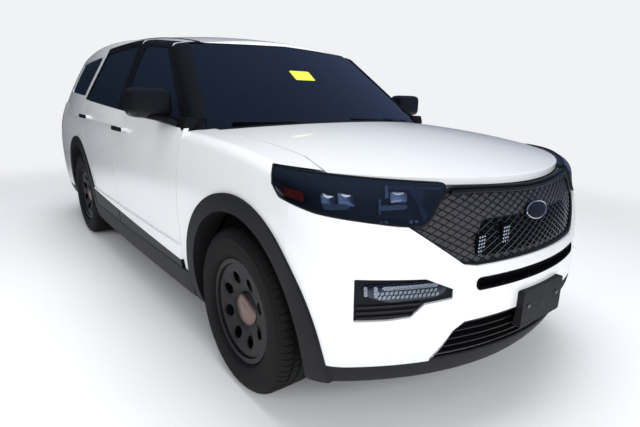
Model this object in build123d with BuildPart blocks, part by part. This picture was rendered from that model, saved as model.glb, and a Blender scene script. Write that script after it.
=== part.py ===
"""Police patrol car: a five-door utility body on four road wheels, with doors, bonnet and liftgate that open.

Units are millimetres and degrees. +X is forward, +Y is the car's left and +Z is up.
The origin lies on the ground, midway between the nose and the tail.
"""
from build123d import *
from math import cos, radians, sin, sqrt
import os

# ---------------------------------------------------------------- driving sizes
WHEELBASE = 3025.0
FRONT_AXLE = 1630.5            # x of the front axle
REAR_AXLE = FRONT_AXLE - WHEELBASE
HALF_TRACK = 851.0             # y of a tyre's centre plane
TYRE_RADIUS = 381.0
TYRE_WIDTH = 255.0
RIM_FLANGE = 240.0             # radius of the rim's edge
HUB_Z = TYRE_RADIUS
KINGPIN_Y = 760.0              # steering axis, vertical
DISC_RADIUS = 165.0
DISC_THICK = 25.0
DISC_OFFSET = 45.0             # inner face of a brake disc, inboard of the tyre's centre plane

SKIN = 12.0                    # lip of a door skin
PANEL = 25.0                   # bonnet, wing and bumper cover with their inner frames
DOOR_DEPTH = 105.0             # door and body side below the windows
FRAME_DEPTH = 52.0             # window frame of a door, and the roof with its lining
RAIL_DEPTH = 85.0              # pillars and roof rails
FLANGE_SET = 40.0              # depth at which the body's flange lies behind a door's lip
UPPER_FLANGE_SET = 56.0        # the same above the belt
FLANGE = 20.0                  # how far the flange reaches behind the lip
REBATE = 32.0                  # how far a door's deep part stands in from its lip's edge
SHUT = 6.0                     # shut line
FIT = 0.8                      # seam round lamps and between bumper covers and wings
SEAT = 0.3                     # clearance where one piece sits on another
GLASS = 5.0                    # pane thickness
GLASS_SET = 5.0                # how far a pane lies under the body's surface

LAMP_DEPTH = 80.0

ARCH_RADIUS = 447.0            # wheel opening
ARCH_LIP = 10.0                # thickness of the trim inside the opening
ARCH_TRIM = 80.0               # width of the black trim round a wheel opening
ARCH_Z = 392.0                 # height of a wheel opening's centre
TRIM_STAND = 12.0              # how far black trim stands proud of the paint
DOOR_LOW = 400.0               # lower edge of the doors
SILL_TRIM_TOP = 530.0          # upper edge of the black trim on the doors
FASCIA_LOW = 345.0             # lower edge of the painted bumper covers
BODY_LOW = 240.0
FLOOR_TOP = 330.0
FLOOR = 30.0                   # thickness of the floor and the bulkhead
BULKHEAD_X = 1130.0
CARGO_FLOOR = 640.0

BELT_FRONT = 1150.0            # lower edge of the side glass at x = 1000
BELT_RISE = 100.0 / 2100.0     # its rise towards the tail
DOOR_FRONT = 1030.0            # x of the front door's front edge
B_PILLAR = -110.0              # x of the shut line between the side doors
ROOF_HALF = 560.0              # y of the roof panel's edge
ROOF_REAR = -2047.0            # x of the roof panel's rear edge
BUMPER_TOP = 694.0             # upper edge of the rear bumper
GATE_LOW = BUMPER_TOP + SHUT
HOOD_CROWN = 7000.0
ROOF_CROWN = 3600.0
HOOD_ROUND = 60.0
ROOF_ROUND = 55.0
CEILING = 2400.0

# Waterlines: z, nose x, tail x, half widths at middle, nose and tail, sagittas of nose and tail, corner radii
TUB = [
    (BODY_LOW, 2410, -2430, 940, 885, 895, 330, 150, 200, 200),
    (380, 2485, -2500, 975, 925, 935, 340, 150, 260, 220),
    (620, 2503, -2524, 996, 955, 955, 340, 150, 300, 240),
    (840, 2470, -2500, 1002, 960, 960, 340, 150, 300, 240),
    (1020, 2410, -2470, 985, 940, 940, 330, 140, 260, 220),
    (1200, 2250, -2440, 935, 880, 885, 300, 130, 200, 200),
]
CABIN = [
    (1100, 1355, -2475, 972, 890, 905, 230, 120, 100, 180),
    (1400, 925, -2330, 850, 785, 800, 180, 110, 90, 160),
    (1650, 560, -2150, 735, 690, 690, 135, 100, 80, 150),
    (1820, 320, -2020, 645, 610, 600, 110, 90, 70, 140),
]
# Side arcs of the bonnet and the roof on the centre line: (x, z) of front end, middle and rear end
HOOD_LINE = ((2700, 955), (1800, 1142), (1050, 1196))
ROOF_LINE = ((1400, 1490), (-450, 1772), (-2700, 1590))


# ---------------------------------------------------------------- ways of making shapes
def waterline(row, inset):
    """One horizontal outline: nose arc, side arcs and tail arc, with rounded corners."""
    z, nose, tail, mid, front, rear, nose_sag, tail_sag, nose_round, tail_round = row
    nose, tail = nose - inset, tail + inset
    mid, front, rear = mid - inset, front - inset, rear - inset
    with BuildSketch(Plane.XY.offset(z)) as outline:
        with BuildLine():
            ThreePointArc((nose - nose_sag, -front), (nose, 0), (nose - nose_sag, front))
            ThreePointArc((nose - nose_sag, front), (0, mid), (tail + tail_sag, rear))
            ThreePointArc((tail + tail_sag, rear), (tail, 0), (tail + tail_sag, -rear))
            ThreePointArc((tail + tail_sag, -rear), (0, -mid), (nose - nose_sag, -front))
        make_face()
        corners = outline.vertices().sort_by(Axis.X)
        fillet(corners[-2:], nose_round - inset / 2)
        fillet(corners[:2], tail_round - inset / 2)
    return outline.sketch


def hull(rows, inset):
    """The solid lofted through a table's waterlines, all drawn in by the same inset."""
    with BuildPart() as solid:
        for row in rows:
            add(waterline(row, inset))
        loft()
    return solid.part


def above(side_arc, crown, drop):
    """Everything above a crowned surface: a side arc turned about a far fore-and-aft axis."""
    start, middle, end = [(x, z - drop) for x, z in side_arc]
    with BuildPart() as solid:
        with BuildSketch(Plane.XZ):
            with BuildLine():
                ThreePointArc(start, middle, end)
                Polyline(end, (end[0], CEILING), (start[0], CEILING), start)
            make_face()
        revolve(axis=Axis((0, 0, middle[1] - crown), (1, 0, 0)), revolution_arc=360)
    return solid.part


def tub(inset):
    """The lower body from the sills to the belt, with the bonnet's surface."""
    with BuildPart() as solid:
        add(hull(TUB, inset))
        add(above(HOOD_LINE, HOOD_CROWN - inset, inset), mode=Mode.SUBTRACT)
        if inset < HOOD_ROUND:
            bonnet = solid.faces().filter_by(GeomType.REVOLUTION).sort_by(SortBy.AREA)[-1]
            fillet([e for e in bonnet.edges() if e.center().X > HOOD_LINE[2][0] + 10], HOOD_ROUND - inset)
    return solid.part


def cabin(inset):
    """The upper body from the belt to the roof."""
    with BuildPart() as solid:
        add(hull(CABIN, inset))
        add(above(ROOF_LINE, ROOF_CROWN - inset, inset), mode=Mode.SUBTRACT)
        if inset < ROOF_ROUND:
            fillet(solid.faces().sort_by(Axis.Z)[-1].edges(), ROOF_ROUND - inset)
    return solid.part


def polygon(points, rounding=0.0):
    """A closed outline with straight sides and equal rounded corners."""
    with BuildSketch() as outline:
        with BuildLine():
            Polyline(*points, close=True)
        make_face()
        if rounding:
            fillet(outline.vertices(), rounding)
    return outline.sketch


def both_halves(points):
    """A front-view outline from its left half, which starts and ends on the centre line."""
    return points + [(-y, z) for y, z in reversed(points) if y]


def grown(outline, amount):
    with BuildSketch() as changed:
        add(outline)
        offset(amount=amount)
    return changed.sketch


def prism(plane, outline, amount):
    with BuildPart() as solid:
        with BuildSketch(plane):
            add(outline)
        extrude(amount=amount)
    return solid.part


def side_prism(outline, near=300.0, far=1300.0):
    """A side-view outline (x, z) carried along +Y from near to far."""
    return prism(Plane.XZ.offset(-near), outline, near - far)


def front_prism(outline, back, front):
    """A front-view outline (y, z) carried along +X from back to front."""
    return prism(Plane.YZ.offset(back), outline, front - back)


def plan_prism(outline, low, high):
    return prism(Plane.XY.offset(low), outline, high - low)


def side_disc(axle, radius, near, far, z=HUB_Z):
    """A round bar along Y."""
    with BuildPart() as solid:
        with BuildSketch(Plane.XZ.offset(-near)):
            with Locations((axle, z)):
                Circle(radius)
        extrude(amount=near - far)
    return solid.part


def block(x0, x1, y0, y1, z0, z1, rounding=0.0):
    """A box given by its limits, with its edges rounded."""
    with BuildPart() as solid:
        with Locations(((x0 + x1) / 2, (y0 + y1) / 2, (z0 + z1) / 2)):
            Box(x1 - x0, y1 - y0, z1 - z0)
        if rounding:
            fillet(solid.edges(), rounding)
    return solid.part


def rod(start, end, radius):
    """A round bar between two points."""
    path = Edge.make_line(start, end)
    with BuildPart() as solid:
        with BuildSketch(Plane(origin=start, z_dir=path % 0)):
            Circle(radius)
        extrude(amount=path.length)
    return solid.part


def belt(x):
    return BELT_FRONT + (1000.0 - x) * BELT_RISE


def arch_point(axle, radius, degrees):
    return (axle + radius * cos(radians(degrees)), ARCH_Z + radius * sin(radians(degrees)))


def to_right(part):
    return part.mirror(Plane.XZ)


os.makedirs("parts", exist_ok=True)

# ---------------------------------------------------------------- base forms
TUB_FACE = tub(0)
TUB_PANEL = tub(PANEL)
TUB_PROUD = tub(-TRIM_STAND)
TUB_SEAT = tub(-SEAT)
TUB_SKIN = tub(SKIN)
TUB_FLANGE = tub(FLANGE_SET)
LAMP_BACK = hull(TUB, LAMP_DEPTH)
CABIN_FACE = cabin(0)
CABIN_SEAT = cabin(-SEAT)
CABIN_FRAME = cabin(FRAME_DEPTH)
GLASS_FACE = cabin(GLASS_SET)
GLASS_BACK = cabin(GLASS_SET + GLASS)
with BuildPart() as outer:
    add(TUB_FACE)
    add(CABIN_FACE)
OUTER = outer.part
with BuildPart() as under_skin:
    add(TUB_SKIN)
    add(cabin(SKIN))
UNDER_SKIN = under_skin.part
with BuildPart() as under_flange:
    add(TUB_FLANGE)
    add(cabin(UPPER_FLANGE_SET))
UNDER_FLANGE = under_flange.part
with BuildPart() as tub_space:
    add(hull(TUB, DOOR_DEPTH))
    add(block(-2420, BULKHEAD_X, -1000, 1000, FLOOR_TOP, 1200), mode=Mode.INTERSECT)
with BuildPart() as door_space:
    add(tub_space.part)
    add(CABIN_FRAME)
with BuildPart() as rail_space:
    add(tub_space.part)
    add(cabin(RAIL_DEPTH))
DOOR_SPACE = door_space.part
RAIL_SPACE = rail_space.part

# ---------------------------------------------------------------- side outlines (x, z)
HEADER = [(330.0, 1640.0), (B_PILLAR, 1680.0), (-880.0, 1655.0)]   # upper edge of the door frames
DOOR_CORNER = 40.0
TOP_SPREAD = 2.0               # extra half gap at the top of the middle shut line
front_door_outline = polygon(
    [(DOOR_FRONT, DOOR_LOW), (DOOR_FRONT, belt(DOOR_FRONT) - 15), (950, belt(950) + 15), HEADER[0],
     (B_PILLAR + SHUT / 2 + TOP_SPREAD, HEADER[1][1]), (B_PILLAR + SHUT / 2, belt(B_PILLAR)),
     (B_PILLAR + SHUT / 2, DOOR_LOW)], DOOR_CORNER)
REAR_DOOR_ARC = ARCH_RADIUS + ARCH_TRIM + 22.0
with BuildSketch() as rear_door_sketch:
    foot = (REAR_AXLE + sqrt(REAR_DOOR_ARC**2 - (DOOR_LOW - ARCH_Z) ** 2), DOOR_LOW)
    with BuildLine():
        ThreePointArc(foot, arch_point(REAR_AXLE, REAR_DOOR_ARC, 30), arch_point(REAR_AXLE, REAR_DOOR_ARC, 52))
        Polyline(arch_point(REAR_AXLE, REAR_DOOR_ARC, 52), (-1130, 1040), (-1165, belt(-1165) - 10), HEADER[2],
                 (B_PILLAR - SHUT / 2 - TOP_SPREAD, HEADER[1][1]), (B_PILLAR - SHUT / 2, belt(B_PILLAR)),
                 (B_PILLAR - SHUT / 2, DOOR_LOW), foot)
    make_face()
    fillet(rear_door_sketch.vertices().filter_by(lambda v: v.Y > 1050 or v.X > -500), DOOR_CORNER)
rear_door_outline = rear_door_sketch.sketch
front_pane_outline = polygon(
    [(880, belt(880) + 12), (330, 1600), (B_PILLAR + 75, 1632), (B_PILLAR + 60, belt(B_PILLAR) + 8)], 25)
rear_pane_outline = polygon(
    [(B_PILLAR - 58, belt(B_PILLAR) + 8), (B_PILLAR - 62, 1634), (-855, 1612), (-1090, belt(-1090) + 12)], 25)
quarter_pane_outline = polygon(
    [(-1010, 1605), (-1235, belt(-1235) + 25), (-2130, belt(-2130) + 10), (-1960, 1570)], 25)
front_aperture = side_prism(grown(front_door_outline, SHUT))
front_aperture_deep = side_prism(grown(front_door_outline, -FLANGE))
rear_aperture = side_prism(grown(rear_door_outline, SHUT))
rear_aperture_deep = side_prism(grown(rear_door_outline, -FLANGE))
with BuildPart() as door_ways:
    add(front_aperture)
    add(rear_aperture)
    add(UNDER_FLANGE, mode=Mode.SUBTRACT)
    add(front_aperture_deep)
    add(rear_aperture_deep)
DOOR_WAYS = door_ways.part
front_arch = side_disc(FRONT_AXLE, ARCH_RADIUS + ARCH_LIP + SEAT, 300, 1300, ARCH_Z)
rear_arch = side_disc(REAR_AXLE, ARCH_RADIUS + ARCH_LIP + SEAT, 600, 1300, ARCH_Z)

# ---------------------------------------------------------------- doors and their glass, mirrors


def door(outline, pane, trim, handle_at):
    """A left-hand door: a skin with a lip all round, a deep part, black trim low down and a pull handle."""
    with BuildPart() as skin:
        add(side_prism(outline))
        add(OUTER, mode=Mode.INTERSECT)
        add(UNDER_SKIN, mode=Mode.SUBTRACT)
    with BuildPart() as deep:
        add(side_prism(grown(outline, -REBATE), ROOF_HALF + FLANGE))
        add(OUTER, mode=Mode.INTERSECT)
        add(DOOR_SPACE, mode=Mode.SUBTRACT)
    with BuildPart() as low_trim:
        add(side_prism(trim, 800))
        add(TUB_PROUD, mode=Mode.INTERSECT)
        add(UNDER_SKIN, mode=Mode.SUBTRACT)
    x, z = handle_at
    with BuildPart() as pull:
        add(block(x - 95, x + 95, 1001, 1021, z - 14, z + 14, 6))
        for end in (x - 78, x + 78):
            add(block(end - 14, end + 14, 950, 1006, z - 10, z + 10))
        add(UNDER_SKIN, mode=Mode.SUBTRACT)
    with BuildPart() as whole:
        add(skin.part)
        add(deep.part)
        add(low_trim.part)
        add(pull.part)
        add(side_prism(grown(pane, SEAT)), mode=Mode.SUBTRACT)
    return whole.part


def pane(outline):
    with BuildPart() as glass:
        add(side_prism(outline))
        add(GLASS_FACE, mode=Mode.INTERSECT)
        add(GLASS_BACK, mode=Mode.SUBTRACT)
    return glass.part


front_trim_outline = polygon(
    [(DOOR_FRONT - 12, DOOR_LOW), (DOOR_FRONT - 12, SILL_TRIM_TOP), (B_PILLAR + SHUT / 2, SILL_TRIM_TOP),
     (B_PILLAR + SHUT / 2, DOOR_LOW)])
rear_trim_outline = polygon(
    [(B_PILLAR - SHUT / 2 - 10, DOOR_LOW), (B_PILLAR - SHUT / 2 - 10, SILL_TRIM_TOP),
     (REAR_AXLE + sqrt(REAR_DOOR_ARC**2 - (SILL_TRIM_TOP - ARCH_Z) ** 2), SILL_TRIM_TOP),
     (REAR_AXLE + REAR_DOOR_ARC, DOOR_LOW)])
front_door = door(front_door_outline, front_pane_outline, front_trim_outline, (60, 1085))
rear_door = door(rear_door_outline, rear_pane_outline, rear_trim_outline, (-940, 1120))
front_door.label = "front_door_left"
export_step(front_door, "parts/front_door_left.step")
rear_door.label = "rear_door_left"
export_step(rear_door, "parts/rear_door_left.step")
for piece, name in ((front_door, "front_door_right"), (rear_door, "rear_door_right")):
    right_door = to_right(piece)
    right_door.label = name
    export_step(right_door, f"parts/{name}.step")
for outline, name in ((front_pane_outline, "front_door_glass"), (rear_pane_outline, "rear_door_glass")):
    left_glass = pane(outline)
    left_glass.label = f"{name}_left"
    export_step(left_glass, f"parts/{name}_left.step")
    right_glass = to_right(left_glass)
    right_glass.label = f"{name}_right"
    export_step(right_glass, f"parts/{name}_right.step")

MIRROR_BACK, MIRROR_FRONT = 735.0, 905.0
with BuildPart() as door_mirror:
    with BuildSketch(Plane.YZ.offset(MIRROR_FRONT)) as small_end:
        with BuildLine():
            Polyline((990, 1130), (1125, 1150), (1125, 1240), (1100, 1278), (1005, 1278), close=True)
        make_face()
        fillet(small_end.vertices(), 20)
    with BuildSketch(Plane.YZ.offset(MIRROR_BACK)) as large_end:
        with BuildLine():
            Polyline((980, 1115), (1133, 1135), (1133, 1262), (1105, 1300), (990, 1300), close=True)
        make_face()
        fillet(large_end.vertices(), 20)
    loft()
    fillet(door_mirror.faces().sort_by(Axis.X)[-1].edges(), 15)
    add(block(790, 880, 890, 1000, 1112, 1150, 8))
    add(TUB_SEAT, mode=Mode.SUBTRACT)
    add(CABIN_SEAT, mode=Mode.SUBTRACT)
door_mirror.part.label = "door_mirror_left"
export_step(door_mirror.part, "parts/door_mirror_left.step")
right_mirror = to_right(door_mirror.part)
right_mirror.label = "door_mirror_right"
export_step(right_mirror, "parts/door_mirror_right.step")

# ---------------------------------------------------------------- body sides: sills, pillars, rails, quarters
SILL_FRONT, SILL_REAR = 1165.0, REAR_AXLE + ARCH_RADIUS + ARCH_LIP + SEAT
SILL_TOP = DOOR_LOW - SHUT
SILL_IN = 790.0
PILLAR_TOP = 1600.0
RAIL_FOOT = 1140.0
with BuildPart() as sills:
    add(block(SILL_REAR, SILL_FRONT, SILL_IN, 1100, BODY_LOW + 5, SILL_TOP))
    add(TUB_FACE, mode=Mode.INTERSECT)
    add(tub_space.part, mode=Mode.SUBTRACT)
    mirror(about=Plane.XZ)
sills.part.label = "sills"
export_step(sills.part, "parts/sills.step")

BUFFER = 14.0                  # side of the rubber blocks that the doors close on
LIP_BACK = TUB_SKIN.moved(Location((0, -SEAT, 0)))


def door_buffer(edge, z):
    """A rubber block on the body's flange, just behind the lip at a door's rear edge."""
    with BuildPart() as rubber:
        add(block(edge, edge + BUFFER, 850, 1100, z - BUFFER, z + BUFFER))
        add(LIP_BACK, mode=Mode.INTERSECT)
        add(hull(TUB, FLANGE_SET + 5), mode=Mode.SUBTRACT)
    return rubber.part


with BuildPart() as door_pillars:
    add(block(DOOR_FRONT - FLANGE, SILL_FRONT, SILL_IN, 1100, SILL_TOP + SEAT, RAIL_FOOT - SEAT))
    add(block(B_PILLAR - SHUT / 2 - FLANGE, B_PILLAR + SHUT / 2 + FLANGE, 500, 1100, SILL_TOP + SEAT, PILLAR_TOP))
    add(UNDER_FLANGE, mode=Mode.INTERSECT)
    add(RAIL_SPACE, mode=Mode.SUBTRACT)
    add(door_buffer(B_PILLAR, 840))
    mirror(about=Plane.XZ)
door_pillars.part.label = "door_pillars"
export_step(door_pillars.part, "parts/door_pillars.step")

SCREEN_BACK = 400.0
screen_outline = polygon(both_halves([(0, 1120), (835, 1120), (640, 1628), (0, 1650)]))
QUARTER_FRONT = -870.0
rail_outline = polygon(
    [(DOOR_FRONT - FLANGE, RAIL_FOOT), (1300, RAIL_FOOT), (1300, 1330), (420, 1850), (QUARTER_FRONT + SEAT, 1850),
     (QUARTER_FRONT + SEAT, PILLAR_TOP + SEAT), (B_PILLAR + SHUT + FLANGE, PILLAR_TOP + SEAT), (300, 1540)])
with BuildPart() as wing_top:
    add(block(DOOR_FRONT + SHUT / 2, 1400, 0, 1300, 1000, 1300))
    add(CABIN_FACE, mode=Mode.SUBTRACT)
with BuildPart() as roof_rails:
    add(side_prism(rail_outline, ROOF_HALF + SEAT))
    add(OUTER, mode=Mode.INTERSECT)
    add(RAIL_SPACE, mode=Mode.SUBTRACT)
    add(DOOR_WAYS, mode=Mode.SUBTRACT)
    add(front_prism(grown(screen_outline, SEAT), SCREEN_BACK, 1500), mode=Mode.SUBTRACT)
    add(wing_top.part, mode=Mode.SUBTRACT)
    mirror(about=Plane.XZ)
roof_rails.part.label = "roof_rails"
export_step(roof_rails.part, "parts/roof_rails.step")

gate_half = [(0, GATE_LOW), (700, GATE_LOW), (725, 900), (700, 1150), (600, 1650), (600, 1900), (0, 1900)]
gate_outline = polygon(both_halves(gate_half))
GATE_FRONT = ROOF_REAR - SHUT
quarter_outline = polygon(
    [(QUARTER_FRONT, 1600), (QUARTER_FRONT, 1850), (-2600, 1850), (-2600, GATE_LOW), (-1990, GATE_LOW),
     (-1990, FASCIA_LOW), (REAR_AXLE, FASCIA_LOW), (REAR_AXLE, SILL_TOP + SEAT), (SILL_REAR, SILL_TOP + SEAT),
     (-880, SILL_TOP + SEAT), (-860, 500), (-1080, 1000), (-1120, 1200)])
LAMP_LOW, LAMP_HIGH, LAMP_FRONT = 930.0, 1110.0, -2290.0
tail_lamp_space = block(-2700, LAMP_FRONT + FIT, 730, 1100, LAMP_LOW - FIT, LAMP_HIGH + FIT)
with BuildPart() as quarter_panels:
    add(side_prism(quarter_outline, 500))
    add(OUTER, mode=Mode.INTERSECT)
    add(RAIL_SPACE, mode=Mode.SUBTRACT)
    add(rear_arch, mode=Mode.SUBTRACT)
    add(DOOR_WAYS, mode=Mode.SUBTRACT)
    add(side_prism(grown(quarter_pane_outline, SEAT)), mode=Mode.SUBTRACT)
    add(front_prism(grown(gate_outline, SHUT), -2700, GATE_FRONT + SHUT), mode=Mode.SUBTRACT)
    add(block(GATE_FRONT, 0, 0, ROOF_HALF + SEAT, 1500, 1900), mode=Mode.SUBTRACT)
    add(tail_lamp_space, mode=Mode.SUBTRACT)
    add(door_buffer(-1134, 1080))
    mirror(about=Plane.XZ)
quarter_panels.part.label = "quarter_panels"
export_step(quarter_panels.part, "parts/quarter_panels.step")

with BuildPart() as roof_panel:
    add(block(ROOF_REAR, 800, -ROOF_HALF, ROOF_HALF, 1500, 1900))
    add(CABIN_FACE, mode=Mode.INTERSECT)
    add(CABIN_FRAME, mode=Mode.SUBTRACT)
    add(front_prism(grown(screen_outline, SEAT), SCREEN_BACK, 1500), mode=Mode.SUBTRACT)
roof_panel.part.label = "roof_panel"
export_step(roof_panel.part, "parts/roof_panel.step")

with BuildPart() as windscreen:
    add(front_prism(screen_outline, SCREEN_BACK + SEAT, 1500))
    add(GLASS_FACE, mode=Mode.INTERSECT)
    add(GLASS_BACK, mode=Mode.SUBTRACT)
windscreen.part.label = "windscreen"
export_step(windscreen.part, "parts/windscreen.step")

with BuildPart() as quarter_glass:
    add(pane(quarter_pane_outline))
    mirror(about=Plane.XZ)
quarter_glass.part.label = "quarter_glass"
export_step(quarter_glass.part, "parts/quarter_glass.step")

# ---------------------------------------------------------------- liftgate, rear bumper and lamps
gate_pane_outline = polygon(both_halves([(0, 1190), (640, 1190), (545, 1590), (0, 1590)]))
SPOILER_REAR = -2225.0
SPOILER_HALF = 590.0
SPOILER_TOP, SPOILER_UNDER = 6.0, 38.0   # depths of its upper and lower surfaces under the roof's own curve
with BuildPart() as spoiler:
    add(block(SPOILER_REAR, -2080, -SPOILER_HALF, SPOILER_HALF, 1500, 1700))
    add(above(ROOF_LINE, ROOF_CROWN - SPOILER_UNDER, SPOILER_UNDER), mode=Mode.INTERSECT)
    add(above(ROOF_LINE, ROOF_CROWN - SPOILER_TOP, SPOILER_TOP), mode=Mode.SUBTRACT)
with BuildPart() as liftgate:
    add(front_prism(gate_outline, -2700, GATE_FRONT))
    add(OUTER, mode=Mode.INTERSECT)
    add(DOOR_SPACE, mode=Mode.SUBTRACT)
    add(front_prism(grown(gate_pane_outline, SEAT), -2700, GATE_FRONT), mode=Mode.SUBTRACT)
    add(spoiler.part)
liftgate.part.label = "liftgate"
export_step(liftgate.part, "parts/liftgate.step")

with BuildPart() as liftgate_glass:
    add(front_prism(gate_pane_outline, -2700, -1900))
    add(GLASS_FACE, mode=Mode.INTERSECT)
    add(GLASS_BACK, mode=Mode.SUBTRACT)
liftgate_glass.part.label = "liftgate_glass"
export_step(liftgate_glass.part, "parts/liftgate_glass.step")

with BuildPart() as tail_lamps:
    add(block(-2700, LAMP_FRONT, 730 + FIT, 1100, LAMP_LOW, LAMP_HIGH))
    add(TUB_FACE, mode=Mode.INTERSECT)
    add(LAMP_BACK, mode=Mode.SUBTRACT)
    mirror(about=Plane.XZ)
tail_lamps.part.label = "tail_lamps"
export_step(tail_lamps.part, "parts/tail_lamps.step")

with BuildPart() as rear_bumper:
    add(block(-2700, -1990 - FIT, -1100, 1100, FASCIA_LOW, BUMPER_TOP))
    add(TUB_FACE, mode=Mode.INTERSECT)
    add(TUB_PANEL, mode=Mode.SUBTRACT)
    add(block(-2400, -1900, -1100, 1100, 300, FASCIA_LOW - 5), mode=Mode.SUBTRACT)
rear_bumper.part.label = "rear_bumper"
export_step(rear_bumper.part, "parts/rear_bumper.step")

# ---------------------------------------------------------------- bonnet, wings and nose
HOOD_SIDE = 1165.0             # x of the bonnet's rear corners
with BuildSketch() as hood_sketch:
    with BuildLine():
        ThreePointArc((2046, 804), (2388, 0), (2046, -804))
        Polyline((2046, -804), (1850, -762), (HOOD_SIDE, -796))
        ThreePointArc((HOOD_SIDE, -796), (1338, 0), (HOOD_SIDE, 796))
        Polyline((HOOD_SIDE, 796), (1850, 762), (2046, 804))
    make_face()
hood_outline = hood_sketch.sketch
HOOD_LIP_LOW = 1000.0
with BuildPart() as hood:
    add(plan_prism(hood_outline, HOOD_LIP_LOW, 1300))
    add(TUB_FACE, mode=Mode.INTERSECT)
    add(TUB_PANEL, mode=Mode.SUBTRACT)
hood.part.label = "hood"
export_step(hood.part, "parts/hood.step")
hood_space = plan_prism(grown(hood_outline, SHUT), HOOD_LIP_LOW - 60, 1300)

with BuildSketch() as cowl_sketch:
    with BuildLine():
        ThreePointArc((HOOD_SIDE - SHUT, -794), (1338 - SHUT, 0), (HOOD_SIDE - SHUT, 794))
        Polyline((HOOD_SIDE - SHUT, 794), (1000, 794), (1000, -794), (HOOD_SIDE - SHUT, -794))
    make_face()
cowl_outline = cowl_sketch.sketch
COWL_DEPTH = 40.0
with BuildPart() as cowl:
    add(plan_prism(cowl_outline, 1110, 1300))
    add(TUB_FACE, mode=Mode.INTERSECT)
    add(TUB_FLANGE, mode=Mode.SUBTRACT)
    add(CABIN_SEAT, mode=Mode.SUBTRACT)
cowl.part.label = "cowl"
export_step(cowl.part, "parts/cowl.step")

LAMP_TURN = 39.0               # the front lamps and fog pockets face this far out from straight ahead
corner_plane = Plane(origin=(0, 0, 0), x_dir=(-sin(radians(LAMP_TURN)), cos(radians(LAMP_TURN)), 0),
                     z_dir=(cos(radians(LAMP_TURN)), sin(radians(LAMP_TURN)), 0))
lamp_outline = polygon(
    [(-1110, 1031), (-453, 1074), (-456, 1006), (-486, 966), (-624, 932), (-915, 890), (-1022, 882)], 6)
pocket_outline = polygon(
    [(-768, 552), (-766, 712), (-1028, 700), (-1136, 652), (-1136, 614), (-1027, 604), (-975, 558), (-892, 551)], 6)


def corner_prism(outline):
    """An outline (outboard, up) in the left front corner's own plane, carried through the bodywork."""
    with BuildPart() as solid:
        with BuildSketch(corner_plane.offset(1800)):
            add(outline)
        extrude(amount=800)
    return solid.part


with BuildPart() as headlamps:
    add(corner_prism(lamp_outline))
    add(TUB_FACE, mode=Mode.INTERSECT)
    add(LAMP_BACK, mode=Mode.SUBTRACT)
    add(hood_space, mode=Mode.SUBTRACT)
    mirror(about=Plane.XZ)
headlamps.part.label = "headlamps"
export_step(headlamps.part, "parts/headlamps.step")
lamp_space = corner_prism(grown(lamp_outline, FIT))

with BuildPart() as fog_lamps:
    add(corner_prism(pocket_outline))
    add(TUB_SKIN, mode=Mode.INTERSECT)
    add(LAMP_BACK, mode=Mode.SUBTRACT)
    mirror(about=Plane.XZ)
fog_lamps.part.label = "fog_lamps"
export_step(fog_lamps.part, "parts/fog_lamps.step")
pocket_space = corner_prism(grown(pocket_outline, SEAT))

BUMPER_JOINT = 2010.0          # x of the seam between bumper cover and wing
wing_outline = polygon(
    [(DOOR_FRONT + SHUT, SILL_TOP + SEAT), (DOOR_FRONT + SHUT, belt(DOOR_FRONT) - 9), (1180, 1260), (2400, 1260),
     (BUMPER_JOINT + 40, 1020), (BUMPER_JOINT, 960), (BUMPER_JOINT, SILL_TOP + SEAT)])
with BuildPart() as front_wings:
    add(side_prism(wing_outline, 730))
    add(TUB_FACE, mode=Mode.INTERSECT)
    add(TUB_PANEL, mode=Mode.SUBTRACT)
    add(front_arch, mode=Mode.SUBTRACT)
    add(hood_space, mode=Mode.SUBTRACT)
    add(plan_prism(grown(cowl_outline, SEAT), 1100, 1300), mode=Mode.SUBTRACT)
    add(lamp_space, mode=Mode.SUBTRACT)
    add(CABIN_SEAT, mode=Mode.SUBTRACT)
    mirror(about=Plane.XZ)
front_wings.part.label = "front_wings"
export_step(front_wings.part, "parts/front_wings.step")

GRILLE_LOW = 725.0
grille_outline = polygon(both_halves(
    [(0, 1060), (475, 1060), (490, 1029), (540, 970), (590, 915), (655, 893), (447, 737), (380, GRILLE_LOW),
     (0, GRILLE_LOW)]))
slot_outline = polygon([(-385, 638), (-385, 672), (385, 672), (385, 638)], 8)
INTAKE_TOP = 523.0
intake_outline = polygon(both_halves(
    [(0, INTAKE_TOP), (435, 512), (480, 480), (555, FASCIA_LOW - 40), (0, FASCIA_LOW - 40)]))
NOSE_BACK = 1950.0
PLATE_HOLES = (177.8, 120.65)  # spacing of the plate bracket's screw holes, across and up
PLATE_HOLE = 7.0
BRACKET_FACE = 2524.5
BRACKET_HALF = 165.0
BRACKET_LOW, BRACKET_HIGH = 430.0, 587.0


def plate_holes(diameter):
    """The four screw holes of the number plate, run back through the nose."""
    with BuildPart() as holes:
        with BuildSketch(Plane.YZ.offset(2400)):
            with Locations((0, (BRACKET_LOW + BRACKET_HIGH) / 2)):
                with GridLocations(PLATE_HOLES[0], PLATE_HOLES[1], 2, 2):
                    Circle(diameter / 2)
        extrude(amount=200)
    return holes.part


with BuildPart() as front_bumper:
    add(block(BUMPER_JOINT + FIT, 2700, -1100, 1100, FASCIA_LOW, 1000))
    add(TUB_FACE, mode=Mode.INTERSECT)
    add(TUB_PANEL, mode=Mode.SUBTRACT)
    for front_opening in (grille_outline, slot_outline, intake_outline):
        add(front_prism(front_opening, NOSE_BACK, 2700), mode=Mode.SUBTRACT)
    for corner_opening in (pocket_space, lamp_space, front_arch):
        add(corner_opening, mode=Mode.SUBTRACT)
        add(to_right(corner_opening), mode=Mode.SUBTRACT)
    add(hood_space, mode=Mode.SUBTRACT)
    add(plate_holes(PLATE_HOLE + 2), mode=Mode.SUBTRACT)
front_bumper.part.label = "front_bumper"
export_step(front_bumper.part, "parts/front_bumper.step")

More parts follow.
